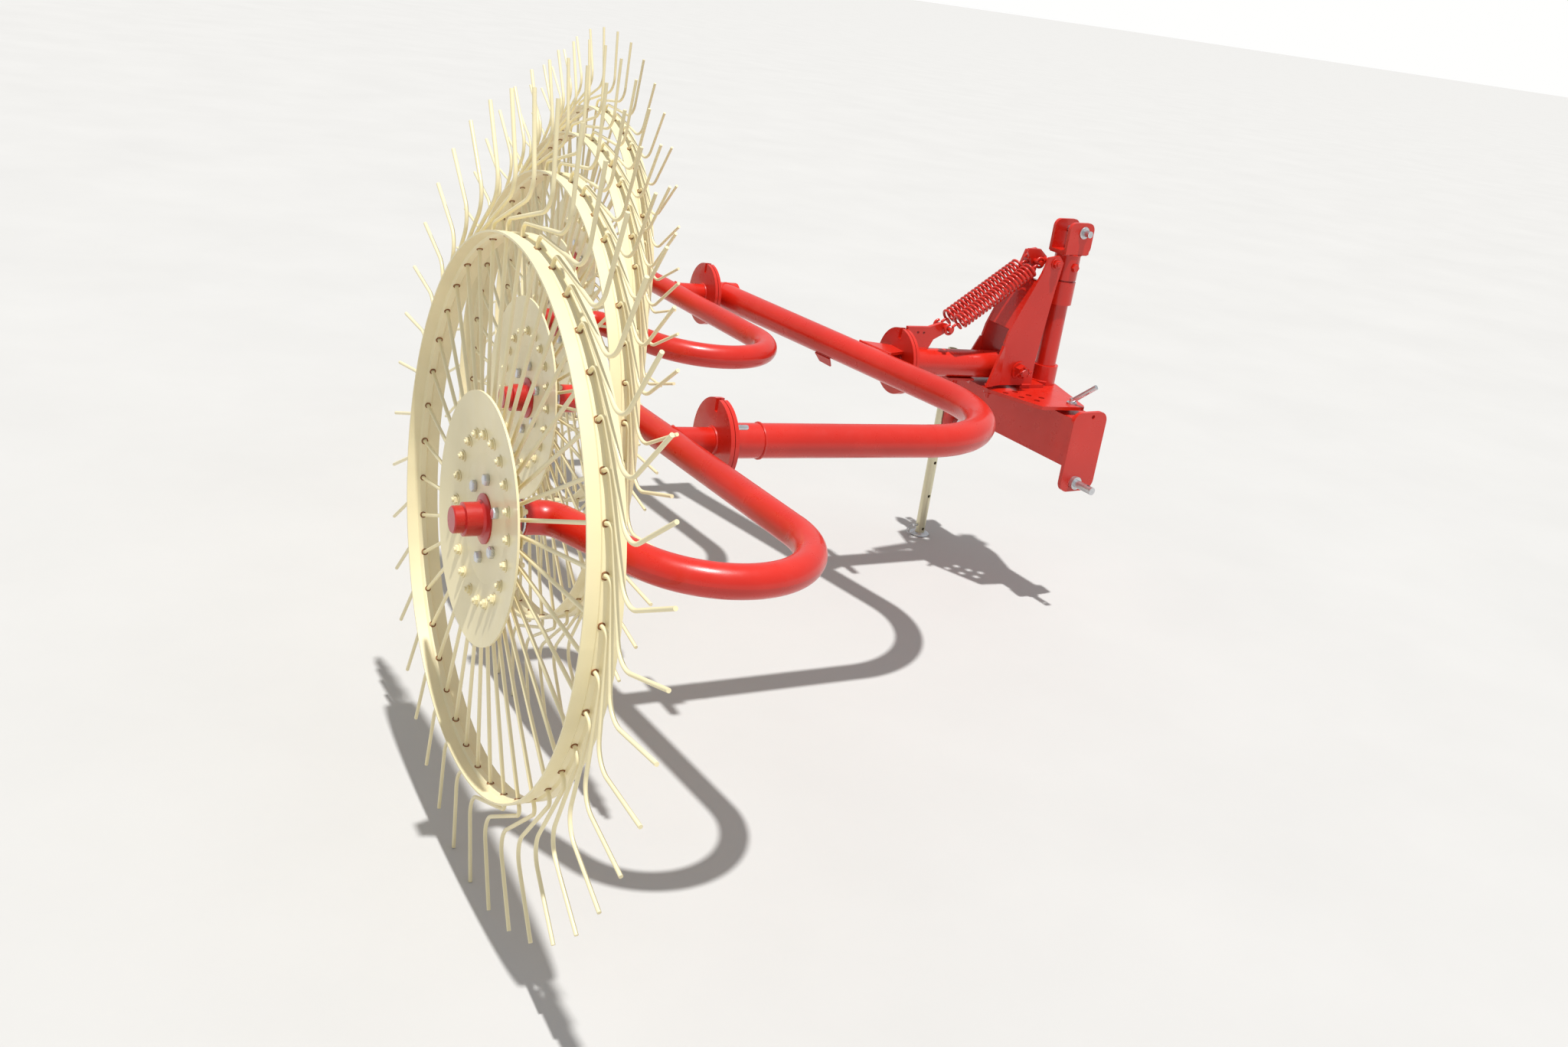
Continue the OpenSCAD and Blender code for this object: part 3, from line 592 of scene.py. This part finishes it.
class RakeStageSettings(bpy.types.PropertyGroup):
    """Camera, light and floor."""

    lens: FloatProperty(
        name="Lens",
        description="Focal length of the camera",
        subtype="DISTANCE_CAMERA",
        unit="CAMERA",
        min=20,
        max=60,
        default=32.564,
    )
    floor_colour: FloatVectorProperty(
        name="Floor",
        description="Colour of the floor",
        subtype="COLOR",
        size=3,
        min=0,
        max=1,
        default=(0.52, 0.51, 0.49),
    )
    sun_strength: FloatProperty(
        name="Sun Strength",
        description="Strength of the main lamp",
        min=0,
        max=6,
        default=3.9,
    )
    sky_strength: FloatProperty(
        name="Sky Strength",
        description="Strength of the light from all round",
        min=0,
        max=2,
        default=0.55,
    )


class RAKE_OT_finish_frame(bpy.types.Operator):
    """Make the finishes and give every solid part its own"""

    bl_idname = "rake.finish_frame"
    bl_label = "Finish Frame Parts"
    bl_options = {"REGISTER", "UNDO"}

    def execute(self, context):
        colours = context.scene.rake_finish
        primer = (0.3, 0.29, 0.28)
        bare = (0.36, 0.24, 0.15)
        make_paint("frame_red_paint", colours.frame_red, 0.24, 0.4, 0.25, primer, 0.025, 0.765)
        # Hub paint: the frame red darkened as painted shade on the hubs and caps
        make_paint("hub_paint_with_painted_shade", colours.hub_colour_with_painted_shade, 0.24, 0.42, 0.25, primer, 0.04, 0.76)
        make_paint("wheel_cream_paint", colours.wheel_cream, 0.32, 0.52, 0.15, bare, 0.07, 0.735)
        grey = (0.42, 0.42, 0.42)
        make_plated("bright_zinc", colours.zinc_grey, shade(colours.zinc_grey, 0.86), 0.24, 0.42, grey)
        brown = (0.36, 0.28, 0.16)
        make_plated("yellow_zinc", colours.zinc_yellow, shade(colours.zinc_grey, 0.9), 0.28, 0.46, brown)
        make_rust("hole_rust", (0.2, 0.07, 0.022), (0.36, 0.15, 0.05))
        by_slot = {
            "red_paint": "frame_red_paint",
            "cream_paint": "wheel_cream_paint",
            "zinc": "bright_zinc",
            "yellow_zinc": "yellow_zinc",
        }
        slots = {part["node"]: part["material_slot"] for part in frame["record"]["subparts"]}
        for name, node in frame["nodes"].items():
            if not node.material_slots:
                raise RuntimeError(name + " has no material slot")
            # Hub parts get the red that is darkened as painted shade
            finish = "hub_paint_with_painted_shade" if name.startswith("hub_") else by_slot[slots[name]]
            for socket in node.material_slots:
                socket.material = bpy.data.materials[finish]
        return {"FINISHED"}


class RAKE_OT_wheel_fastenings(bpy.types.Operator):
    """Bolt the discs to their hubs and clip the tine pairs to the discs"""

    bl_idname = "rake.wheel_fastenings"
    bl_label = "Fit Wheel Fastenings"
    bl_options = {"REGISTER", "UNDO"}

    def execute(self, context):
        sizes = context.scene.rake_fastenings
        for k in WHEELS:
            place = wheel_matrix(k)
            body = "wheel_%d" % k
            hub_bolts = self.hub_bolts(place, sizes)
            make_piece("hub_bolts_%d" % k, hub_bolts, "bright_zinc", body)
            clip_bolts = self.clip_bolts(place, sizes)
            make_piece("clip_bolts_%d" % k, clip_bolts, "wheel_cream_paint", body)
            hole_rust = self.hole_rings(place)
            make_piece("hole_rust_%d" % k, hole_rust, "hole_rust", body)
        return {"FINISHED"}

    def hub_bolts(self, place, sizes):
        """Bolt heads on the disc and nuts behind the hub's flange."""
        mesh = bmesh.new()
        width = sizes.hub_bolt_width
        for n in range(HUB_BOLTS):
            hole = place @ Matrix.Rotation((n + 0.5) * FULL_TURN / HUB_BOLTS, 4, "Z")
            spin = Matrix.Rotation(n * 0.7, 4, "Z")
            add_bolt(mesh, at(hole, HUB_BOLT_RING, 0, DISC_FRONT) @ spin, width, height=0.009)
            add_bolt(mesh, at(hole, HUB_BOLT_RING, 0, HUB_BACK) @ FLIP @ spin, width, height=0.008)
        return mesh

    def clip_bolts(self, place, sizes):
        """Bolts on the dished disc, each with the washer and nut that hold a wire's loop."""
        mesh = bmesh.new()
        width = sizes.clip_bolt_width
        lean = Matrix.Rotation(-math.atan(DISC_DISH / (DISC_RADIUS - DISC_FLAT)), 4, "Y")
        shank = [(0.0042, 0), (0.0042, 0.013), (0.0034, 0.0138)]
        for n in range(sizes.clip_bolts):
            hole = place @ Matrix.Rotation((n + 0.5) * FULL_TURN / sizes.clip_bolts, 4, "Z")
            spin = Matrix.Rotation(n * 0.9, 4, "Z")
            front = at(hole, CLIP_RING, 0, CLIP_FRONT) @ lean @ spin
            add_bolt(mesh, front, width, 0.0055, washer_radius=0.0105, washer_thick=0.0018, dome=0.0035)
            back = at(hole, CLIP_RING, 0, WIRE_BACK) @ FLIP
            add_washer(mesh, back, radius=0.0165, thick=0.0026)
            add_hexagon(mesh, at(back, 0, 0, 0.0024) @ spin, width, height=0.007)
            add_revolved(mesh, shank, back, 16)
        return mesh

    def hole_rings(self, place):
        """Rust round the holes where the tines pass through the rim."""
        mesh = bmesh.new()
        for n in range(TINES_PER_WHEEL):
            tine = place @ Matrix.Rotation(FIRST_TINE + n * TINE_STEP, 4, "Z")
            size = RUST_RADIUS + RUST_SPREAD * math.sin(n * 2.3)
            for face in (RIM_INSIDE, RIM_OUTSIDE):
                spot = at(tine, face, 0, 0) @ rotation(90, "Y")
                add_rod(mesh, arc(spot, size, count=14), 0.0011, 6, True)
        return mesh


class RAKE_OT_pivot_fastenings(bpy.types.Operator):
    """Fit the lock pin of the near arm, the pivot bolt's crown and split pin, and the frame bolts"""

    bl_idname = "rake.pivot_fastenings"
    bl_label = "Fit Pivot Fastenings"
    bl_options = {"REGISTER", "UNDO"}

    def execute(self, context):
        sizes = context.scene.rake_fastenings
        make_piece("near_lock_pin", self.lock_pin(), "bright_zinc", "main")
        make_red_piece("pivot_crown", self.crown(), "swing_frame")
        make_red_piece("split_pin", self.split_pin(), "swing_frame")
        make_red_piece("side_plate_bolts", self.side_bolts(sizes), "swing_frame")
        make_red_piece("mast_bolt", self.mast_bolt(sizes), "hitch")
        return {"FINISHED"}

    def lock_pin(self):
        """Pin with a collar on the near pivot disc."""
        mesh = bmesh.new()
        spot = at(LINK, PIVOT_A + DISC_FACE, PIVOT_W - 0.052, 0.048) @ aim((1, 0, 0))
        collar = [(0.009, -0.0002), (0.009, 0.004), (0.0055, 0.004)]
        shank = [(0.0055, 0.030), (0.0045, 0.033), (0, 0.033)]
        add_revolved(mesh, collar + shank, spot, 20)
        return mesh

    def crown(self):
        """Fingers of the castle nut round the bolt's end."""
        mesh = bmesh.new()
        end = at(SWING, PIVOT_BOLT_X, -PIVOT_BOLT_END, PIVOT_BOLT_Z) @ aim((0, -1, 0))
        base = [(0.0155, -0.001), (0.0155, 0.0008), (0.0122, 0.0008), (0.0122, -0.001)]
        add_revolved(mesh, base, end, 32)
        half = math.radians(19)
        for n in range(6):
            middle = (n + 0.5) * FULL_TURN / 6
            turns = (middle - half, middle, middle + half)
            outer = [on_circle(CROWN_OUTSIDE, turn).xy for turn in turns]
            inner = [on_circle(CROWN_INSIDE, turn).xy for turn in reversed(turns)]
            add_plate(mesh, outer + inner, 0.0075, end)
        return mesh

    def split_pin(self):
        """Split pin through the crown, one leg bent over the bolt's end and one along the nut."""
        mesh = bmesh.new()
        middle = at(SWING, PIVOT_BOLT_X, -SPLIT_PIN_AT, PIVOT_BOLT_Z)
        over = (
            (0.017, 0, 0.0015),
            (-0.017, 0, 0.0015),
            (-0.019, -0.003, 0.003),
            (-0.015, -0.0062, 0.006),
            (-0.005, -0.0066, 0.010),
        )
        along = (
            (0.017, 0, -0.0015),
            (-0.017, 0, -0.0015),
            (-0.0205, 0.003, -0.004),
            (-0.0225, 0.008, -0.011),
        )
        for leg in (over, along):
            path = [middle @ Vector(point) for point in leg]
            add_rod(mesh, dense(path, 0.003), SPLIT_PIN_WIRE, 8)
        eye = at(middle, 0.0205, 0, 0) @ rotation(90, "X")
        add_rod(mesh, arc(eye, 0.0038, count=18), SPLIT_PIN_WIRE, 8, True)
        return mesh

    def side_bolts(self, sizes):
        """Bolt on the outer face of each side plate, level with the mast's head."""
        mesh = bmesh.new()
        x, aside, z = SIDE_BOLT_AT
        width = sizes.frame_bolt_width
        for side in (-1, 1):
            spot = at(SWING, x, side * aside, z) @ aim((0, side, 0))
            add_bolt(mesh, spot, width, 0.009, washer_radius=0.0165, washer_thick=0.003, dome=0.004)
        return mesh

    def mast_bolt(self, sizes):
        """Head and nut of the bolt through the mast."""
        mesh = bmesh.new()
        x, aside, z = MAST_BOLT_AT
        for side, dome in ((-1, 0), (1, 0.005)):
            spot = at(HITCH, x, side * aside, z) @ aim((0, side, 0))
            add_bolt(mesh, spot, sizes.frame_bolt_width, 0.009, dome=dome)
        return mesh


class RAKE_OT_balance_springs(bpy.types.Operator):
    """Hang the two balance springs between the swing frame and the centre tube"""

    bl_idname = "rake.balance_springs"
    bl_label = "Hang Balance Springs"
    bl_options = {"REGISTER", "UNDO"}

    def execute(self, context):
        mesh = bmesh.new()
        for side in (-1, 1):
            self.add_spring(mesh, side)
        springs = make_red_piece("spring_coils", mesh, None)
        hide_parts("balance_springs")
        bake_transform(springs)
        return {"FINISHED"}

    def rod_place(self, rod, aside):
        """Point of a rod at a distance from the swing frame's middle plane."""
        return SWING @ Vector((rod[0], aside, rod[1]))

    def add_spring(self, mesh, side):
        """Hook round the anchor's rod, neck, coils, neck and hook round the hanger's rod."""
        low = self.rod_place(ANCHOR_AT, side * SPRING_ASIDE)
        high = self.rod_place(HANGER_AT, side * SPRING_ASIDE)
        length = (high - low).length
        along = (high - low).normalized()
        place = axes_matrix(low, FLOAT_Y.cross(along), FLOAT_Y, along)
        first = []
        for i in range(TURN_POINTS + 1):
            turn = math.radians(HOOK_START + HOOK_SWEEP * i / TURN_POINTS)
            first.append(Vector((HOOK_RADIUS * math.cos(turn), 0, HOOK_RADIUS * math.sin(turn))))
        first += [Vector((x, 0, z)) for x, z in NECK]
        coils = []
        steps = TURN_POINTS * SPRING_COILS
        for i in range(steps + 1):
            rise = HOOK_LENGTH + (length - 2 * HOOK_LENGTH) * i / steps
            coils.append(on_circle(SPRING_RADIUS, FULL_TURN * i / TURN_POINTS, rise))
        last = [Vector((point.x, 0, length - point.z)) for point in reversed(first)]
        path = [place @ point for point in first + coils + last]
        add_rod(mesh, path, SPRING_WIRE, 10)


class RAKE_OT_hitch_hardware(bpy.types.Operator):
    """Fit the tail bolt, the top pin's washer, the stand pin and the socket's clamp screw"""

    bl_idname = "rake.hitch_hardware"
    bl_label = "Fit Hitch Hardware"
    bl_options = {"REGISTER", "UNDO"}

    def execute(self, context):
        sizes = context.scene.rake_fastenings
        make_red_piece("tail_bolt", self.tail_bolt(sizes), "hitch")
        make_piece("stand_pin", self.stand_pin(), "bright_zinc", "stand")
        make_red_piece("stand_screw", self.stand_screw(sizes), "hitch")
        make_piece("top_pin_washer", self.top_washer(), "bright_zinc", "hitch")
        return {"FINISHED"}

    def tail_bolt(self, sizes):
        """Bolt through the index plate, its nut underneath."""
        mesh = bmesh.new()
        width = sizes.frame_bolt_width
        add_bolt(mesh, at(HITCH, *TAIL_BOLT_AT, TAIL_TOP), width, 0.009)
        add_bolt(mesh, at(HITCH, *TAIL_BOLT_AT, TAIL_UNDER) @ FLIP, width, 0.010, dome=0.012)
        return mesh

    def stand_pin(self):
        """Short pin low on the rear side of the leg, with its wire ring."""
        mesh = bmesh.new()
        low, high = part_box("stand_leg")
        middle = ((low[0] + high[0]) / 2, (low[1] + high[1]) / 2, STAND_PIN_HEIGHT)
        spot = Matrix.Translation(middle)
        add_rod(mesh, [spot @ Vector((x, 0, 0)) for x in (-0.029, -0.02, -0.013)], 0.0042, 14)
        ring = at(spot, -0.0356, 0, -0.0126) @ rotation(130, "Y")
        add_rod(mesh, arc(ring, 0.0165, count=36), 0.0016, 8, True)
        return mesh

    def stand_screw(self, sizes):
        """Clamp screw on the stand's socket."""
        mesh = bmesh.new()
        low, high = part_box("stand_socket")
        face = (high[0] - 0.0215, high[1] - 0.0004, STAND_SCREW_HEIGHT)
        spot = Matrix.Translation(face) @ aim((0, 1, 0))
        add_revolved(mesh, [(0.013, -0.003), (0.013, 0.006), (0.0115, 0.0075)], spot, 24)
        add_bolt(mesh, at(spot, 0, 0, 0.0072), sizes.clip_bolt_width, 0.010, dome=0.002)
        return mesh

    def top_washer(self):
        """Washer on the top link pin outside the near ear."""
        mesh = bmesh.new()
        low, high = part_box("top_link_pin")
        middle = ((low[0] + high[0]) / 2, MAST.y - CLEVIS_FACE, (low[2] + high[2]) / 2)
        spot = Matrix.Translation(middle) @ aim((0, -1, 0))
        add_washer(mesh, spot, radius=0.0175, thick=0.0044, sides=36)
        return mesh


class RAKE_OT_weld_beads(bpy.types.Operator):
    """Lay weld beads where pipes, discs and plates meet"""

    bl_idname = "rake.weld_beads"
    bl_label = "Lay Weld Beads"
    bl_options = {"REGISTER", "UNDO"}

    def execute(self, context):
        bead = context.scene.rake_fastenings.bead_radius
        make_red_piece("near_arm_beads", self.arm_beads(0, bead), "near_arm")
        make_red_piece("far_arm_beads", self.arm_beads(2, bead), "far_arm")
        make_red_piece("main_beads", self.main_beads(bead), "main")
        make_red_piece("tube_beads", self.tube_beads(bead), "float_tube")
        make_red_piece("swing_beads", self.swing_beads(bead), "swing_frame")
        make_red_piece("hitch_beads", self.hitch_beads(bead), "hitch")
        return {"FINISHED"}

    def ring(self, mesh, place, a, w, radius, bead):
        """Bead round a pipe that runs along the place's X axis."""
        spot = at(place, a, w, 0) @ aim((1, 0, 0))
        add_bead(mesh, arc(spot, radius, count=60), bead, True)

    def arm_beads(self, first, bead):
        """Beads of the arm that carries a wheel and the next one in the row."""
        mesh = bmesh.new()
        arm = at(LINK, first * STEP_A, first * STEP_W, 0)
        self.ring(mesh, arm, PIVOT_A - DISC_FACE, PIVOT_W, STUB_RADIUS, bead)
        leg = at(arm, ARM_LEG_A, PIVOT_W, 0)
        add_bead(mesh, saddle_line(leg, ARM_RADIUS, STUB_RADIUS, ARM_HEADING), bead, True)
        for n in (0, 1):
            self.ring(mesh, arm, COLLAR_FACE + n * STEP_A, n * STEP_W, ARM_RADIUS - 0.001, bead * 0.7)
        return mesh

    def main_beads(self, bead):
        mesh = bmesh.new()
        near = PIVOT_A + DISC_FACE
        far_w = PIVOT_W + 2 * STEP_W
        self.ring(mesh, LINK, near, PIVOT_W, MAIN_RADIUS, bead)
        self.ring(mesh, LINK, near + SLEEVE, PIVOT_W, MAIN_RADIUS, bead * 0.8)
        self.ring(mesh, LINK, near + 2 * STEP_A, far_w, MAIN_RADIUS, bead)
        self.ring(mesh, LINK, CENTRE_A - DISC_FACE, CENTRE_W, STUB_RADIUS, bead)
        leg = at(LINK, MAIN_LEG_A, CENTRE_W, 0)
        add_bead(mesh, saddle_line(leg, MAIN_RADIUS, STUB_RADIUS, MAIN_HEADING), bead, True)
        along = Vector((math.cos(MAIN_HEADING), math.sin(MAIN_HEADING), 0))
        depth = math.sqrt(MAIN_RADIUS**2 - SADDLE_HALF_WIDTH**2)
        for side in (-1, 1):
            start = Vector((depth, 0, side * (SADDLE_HALF_WIDTH + 0.004)))
            spots = (-SADDLE_HALF_LENGTH, 0, SADDLE_HALF_LENGTH)
            add_bead(mesh, [leg @ (start + along * s) for s in spots], bead * 0.8)
        end = at(LINK, PIVOT_A + 2 * STEP_A + 0.058, far_w, 0)
        turned = end @ Matrix.Rotation(MAIN_HEADING + math.pi, 4, "Z")
        meeting = saddle_line(turned, MAIN_RADIUS, MAIN_RADIUS * 0.985, math.pi - MAIN_HEADING)
        add_bead(mesh, meeting, bead, True)
        return mesh

    def tube_beads(self, bead):
        """Beads round the centre tube's disc and along the foot of the spring anchor."""
        mesh = bmesh.new()
        self.ring(mesh, FLOAT, -0.382 + DISC_FACE, 0, 0.039, bead)
        for side in (-1, 1):
            line = [FLOAT @ Vector((x, side * 0.0065, 0.0385)) for x in (-0.368, -0.300)]
            add_bead(mesh, line, bead * 0.8)
        return mesh

    def swing_beads(self, bead):
        """Beads at the feet of the side plates, on the hanger's lugs and behind the mast sleeve."""
        mesh = bmesh.new()
        for side in (-1, 1):
            for aside, front in ((0.0585, -0.090), (0.048, -0.088)):
                foot = [SWING @ Vector((x, side * aside, SLEEVE_FOOT)) for x in (-0.122, front)]
                add_bead(mesh, foot, bead * 0.8)
            lug = [SWING @ Vector((-0.0395, side * 0.0125, z)) for z in (0.848, 0.902)]
            add_bead(mesh, lug, bead * 0.8)
        spot = at(SWING, 0, 0, SLEEVE_FOOT - 0.0002)
        back = arc(spot, 0.0385, math.radians(110), math.radians(250), 40)
        add_bead(mesh, back, bead * 0.8)
        return mesh

    def hitch_beads(self, bead):
        """Beads round the beam's ends, along the index plate's seat and under the clevis."""
        mesh = bmesh.new()
        low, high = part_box("hitch_beam")
        beam_top = high[2] - 0.014
        for y, side in ((low[1], -1), (high[1], 1)):
            corners = [(low[0], low[2]), (high[0], low[2]), (high[0], beam_top), (low[0], beam_top)]
            add_bead(mesh, [Vector((x, y - side * 0.001, z)) for x, z in corners], bead * 0.8, True)
        for x in (low[0] + 0.008, high[0] - 0.008):
            line = [Vector((x, MAST.y + y, high[2] - 0.0005)) for y in (-0.148, 0.148)]
            add_bead(mesh, line, bead * 0.7)
        add_bead(mesh, arc(at(HITCH, 0, 0, MAST_HEAD), 0.0372, count=60), bead * 0.6, True)
        return mesh


class RAKE_OT_small_brackets(bpy.types.Operator):
    """Add the small stay under the main pipe and the clamp plate under the centre tube"""

    bl_idname = "rake.small_brackets"
    bl_label = "Add Small Brackets"
    bl_options = {"REGISTER", "UNDO"}

    def execute(self, context):
        sizes = context.scene.rake_fastenings
        make_red_piece("pipe_stay", self.pipe_stay(), "main")
        make_red_piece("tube_plate", self.tube_plate(sizes), "float_tube")
        return {"FINISHED"}

    def pipe_stay(self):
        """Bent tab on the rear lower side of the main pipe beside the centre stub."""
        mesh = bmesh.new()
        leg = at(LINK, MAIN_LEG_A, CENTRE_W, 0) @ Matrix.Rotation(MAIN_HEADING, 4, "Z")
        tab = at(leg, 0.150, 0.020, -0.0322) @ rotation(-128, "X")
        add_plate(mesh, [(-0.032, 0), (0.032, 0), (0.026, 0.030), (-0.020, 0.034)], 0.005, tab)
        return mesh

    def tube_plate(self, sizes):
        """Plate with four small bolts under the centre tube."""
        mesh = bmesh.new()
        under = at(FLOAT, -0.170, 0, -0.0385) @ FLIP
        outline = [(-0.045, -0.024), (0.045, -0.024), (0.045, 0.024), (-0.045, 0.024)]
        add_plate(mesh, outline, 0.006, under)
        for x in (-0.028, 0.028):
            for y in (-0.013, 0.013):
                add_bolt(mesh, at(under, x, y, 0.0058), sizes.clip_bolt_width * 0.8, 0.0045)
        return mesh


class RAKE_OT_set_stage(bpy.types.Operator):
    """Set the floor, the light and the camera"""

    bl_idname = "rake.set_stage"
    bl_label = "Set Stage"
    bl_options = {"REGISTER", "UNDO"}

    def execute(self, context):
        settings = context.scene.rake_stage
        self.floor(settings)
        self.light(context, settings)
        self.camera(context, settings)
        context.scene.view_settings.view_transform = "Standard"
        return {"FINISHED"}

    def floor(self, settings):
        mesh = bmesh.new()
        bmesh.ops.create_grid(mesh, x_segments=2, y_segments=2, size=400)
        data = bpy.data.meshes.new("floor")
        mesh.to_mesh(data)
        mesh.free()
        plane = bpy.data.objects.new("floor", data)
        bpy.context.collection.objects.link(plane)
        material, tree, shader = new_material("pale_floor")
        cloud = add_range(tree, add_noise(tree, 1.2, 8, 0.6), 0.3, 0.7, 0, 1)
        colour = settings.floor_colour
        tone = add_mix(tree, cloud, shade(colour, 0.97), shade(colour, 1.02))
        tree.links.new(tone, shader.inputs["Base Color"])
        shader.inputs["Roughness"].default_value = 0.9
        data.materials.append(material)

    def light(self, context, settings):
        """High sun a little to the near side, a soft sky, and white behind the rake for the camera."""
        lamp = bpy.data.lights.new("main_sun", "SUN")
        lamp.energy = settings.sun_strength
        lamp.angle = math.radians(1.5)
        sun = bpy.data.objects.new("main_sun", lamp)
        sun.matrix_world = aim((-0.03, -0.2, 1.0))
        context.collection.objects.link(sun)
        world = bpy.data.worlds.new("pale_sky")
        world.use_nodes = True
        tree = world.node_tree
        sky = tree.nodes["Background"]
        sky.inputs["Color"].default_value = (0.95, 0.97, 1.0, 1)
        sky.inputs["Strength"].default_value = settings.sky_strength
        white = tree.nodes.new("ShaderNodeBackground")
        white.inputs["Color"].default_value = (1, 1, 0.99, 1)
        seen = tree.nodes.new("ShaderNodeLightPath")
        choose = tree.nodes.new("ShaderNodeMixShader")
        tree.links.new(seen.outputs["Is Camera Ray"], choose.inputs["Fac"])
        tree.links.new(sky.outputs["Background"], choose.inputs[1])
        tree.links.new(white.outputs["Background"], choose.inputs[2])
        tree.links.new(choose.outputs["Shader"], tree.nodes["World Output"].inputs["Surface"])
        context.scene.world = world

    def camera(self, context, settings):
        """Camera behind the near wheel, looking forward over the rake."""
        level = math.cos(CAMERA_PITCH)
        ahead = (level * math.cos(CAMERA_YAW), level * math.sin(CAMERA_YAW), -math.sin(CAMERA_PITCH))
        looking = Vector(ahead)
        right = looking.cross(UP).normalized()
        top = right.cross(looking)
        rolled_right = math.cos(CAMERA_ROLL) * right + math.sin(CAMERA_ROLL) * top
        rolled_top = math.cos(CAMERA_ROLL) * top - math.sin(CAMERA_ROLL) * right
        data = bpy.data.cameras.new("photo_camera")
        data.sensor_fit = "HORIZONTAL"
        data.sensor_width = SENSOR_WIDTH
        data.lens = settings.lens
        camera = bpy.data.objects.new("photo_camera", data)
        camera.matrix_world = axes_matrix(Vector(CAMERA_AT), rolled_right, rolled_top, -looking)
        context.collection.objects.link(camera)
        context.scene.camera = camera


STEPS = (
    RAKE_OT_finish_frame,
    RAKE_OT_wheel_fastenings,
    RAKE_OT_pivot_fastenings,
    RAKE_OT_balance_springs,
    RAKE_OT_hitch_hardware,
    RAKE_OT_weld_beads,
    RAKE_OT_small_brackets,
    RAKE_OT_set_stage,
)


class RAKE_PT_dressing(bpy.types.Panel):
    """Steps and settings of the rake's dressing"""

    bl_idname = "RAKE_PT_dressing"
    bl_label = "Hay Rake"
    bl_space_type = "VIEW_3D"
    bl_region_type = "UI"
    bl_category = "Hay Rake"

    def draw(self, context):
        scene = context.scene
        for title, group in (
            ("Finishes", scene.rake_finish),
            ("Fastenings", scene.rake_fastenings),
            ("Stage", scene.rake_stage),
        ):
            box = self.layout.box()
            box.label(text=title)
            for name in group.__annotations__:
                box.prop(group, name)
        for step in STEPS:
            self.layout.operator(step.bl_idname)


SETTINGS = (
    ("rake_finish", RakeFinishSettings),
    ("rake_fastenings", RakeFasteningSettings),
    ("rake_stage", RakeStageSettings),
)


def register():
    for name, group in SETTINGS:
        bpy.utils.register_class(group)
        setattr(bpy.types.Scene, name, PointerProperty(type=group))
    for cls in (*STEPS, RAKE_PT_dressing):
        bpy.utils.register_class(cls)


def unregister():
    for cls in reversed((*STEPS, RAKE_PT_dressing)):
        bpy.utils.unregister_class(cls)
    for name, group in reversed(SETTINGS):
        delattr(bpy.types.Scene, name)
        bpy.utils.unregister_class(group)


def main():
    register()
    bpy.ops.rake.finish_frame()
    bpy.ops.rake.wheel_fastenings()
    bpy.ops.rake.pivot_fastenings()
    bpy.ops.rake.balance_springs()
    bpy.ops.rake.hitch_hardware()
    bpy.ops.rake.weld_beads()
    bpy.ops.rake.small_brackets()
    bpy.ops.rake.set_stage()


if __name__ == "__main__":
    main()
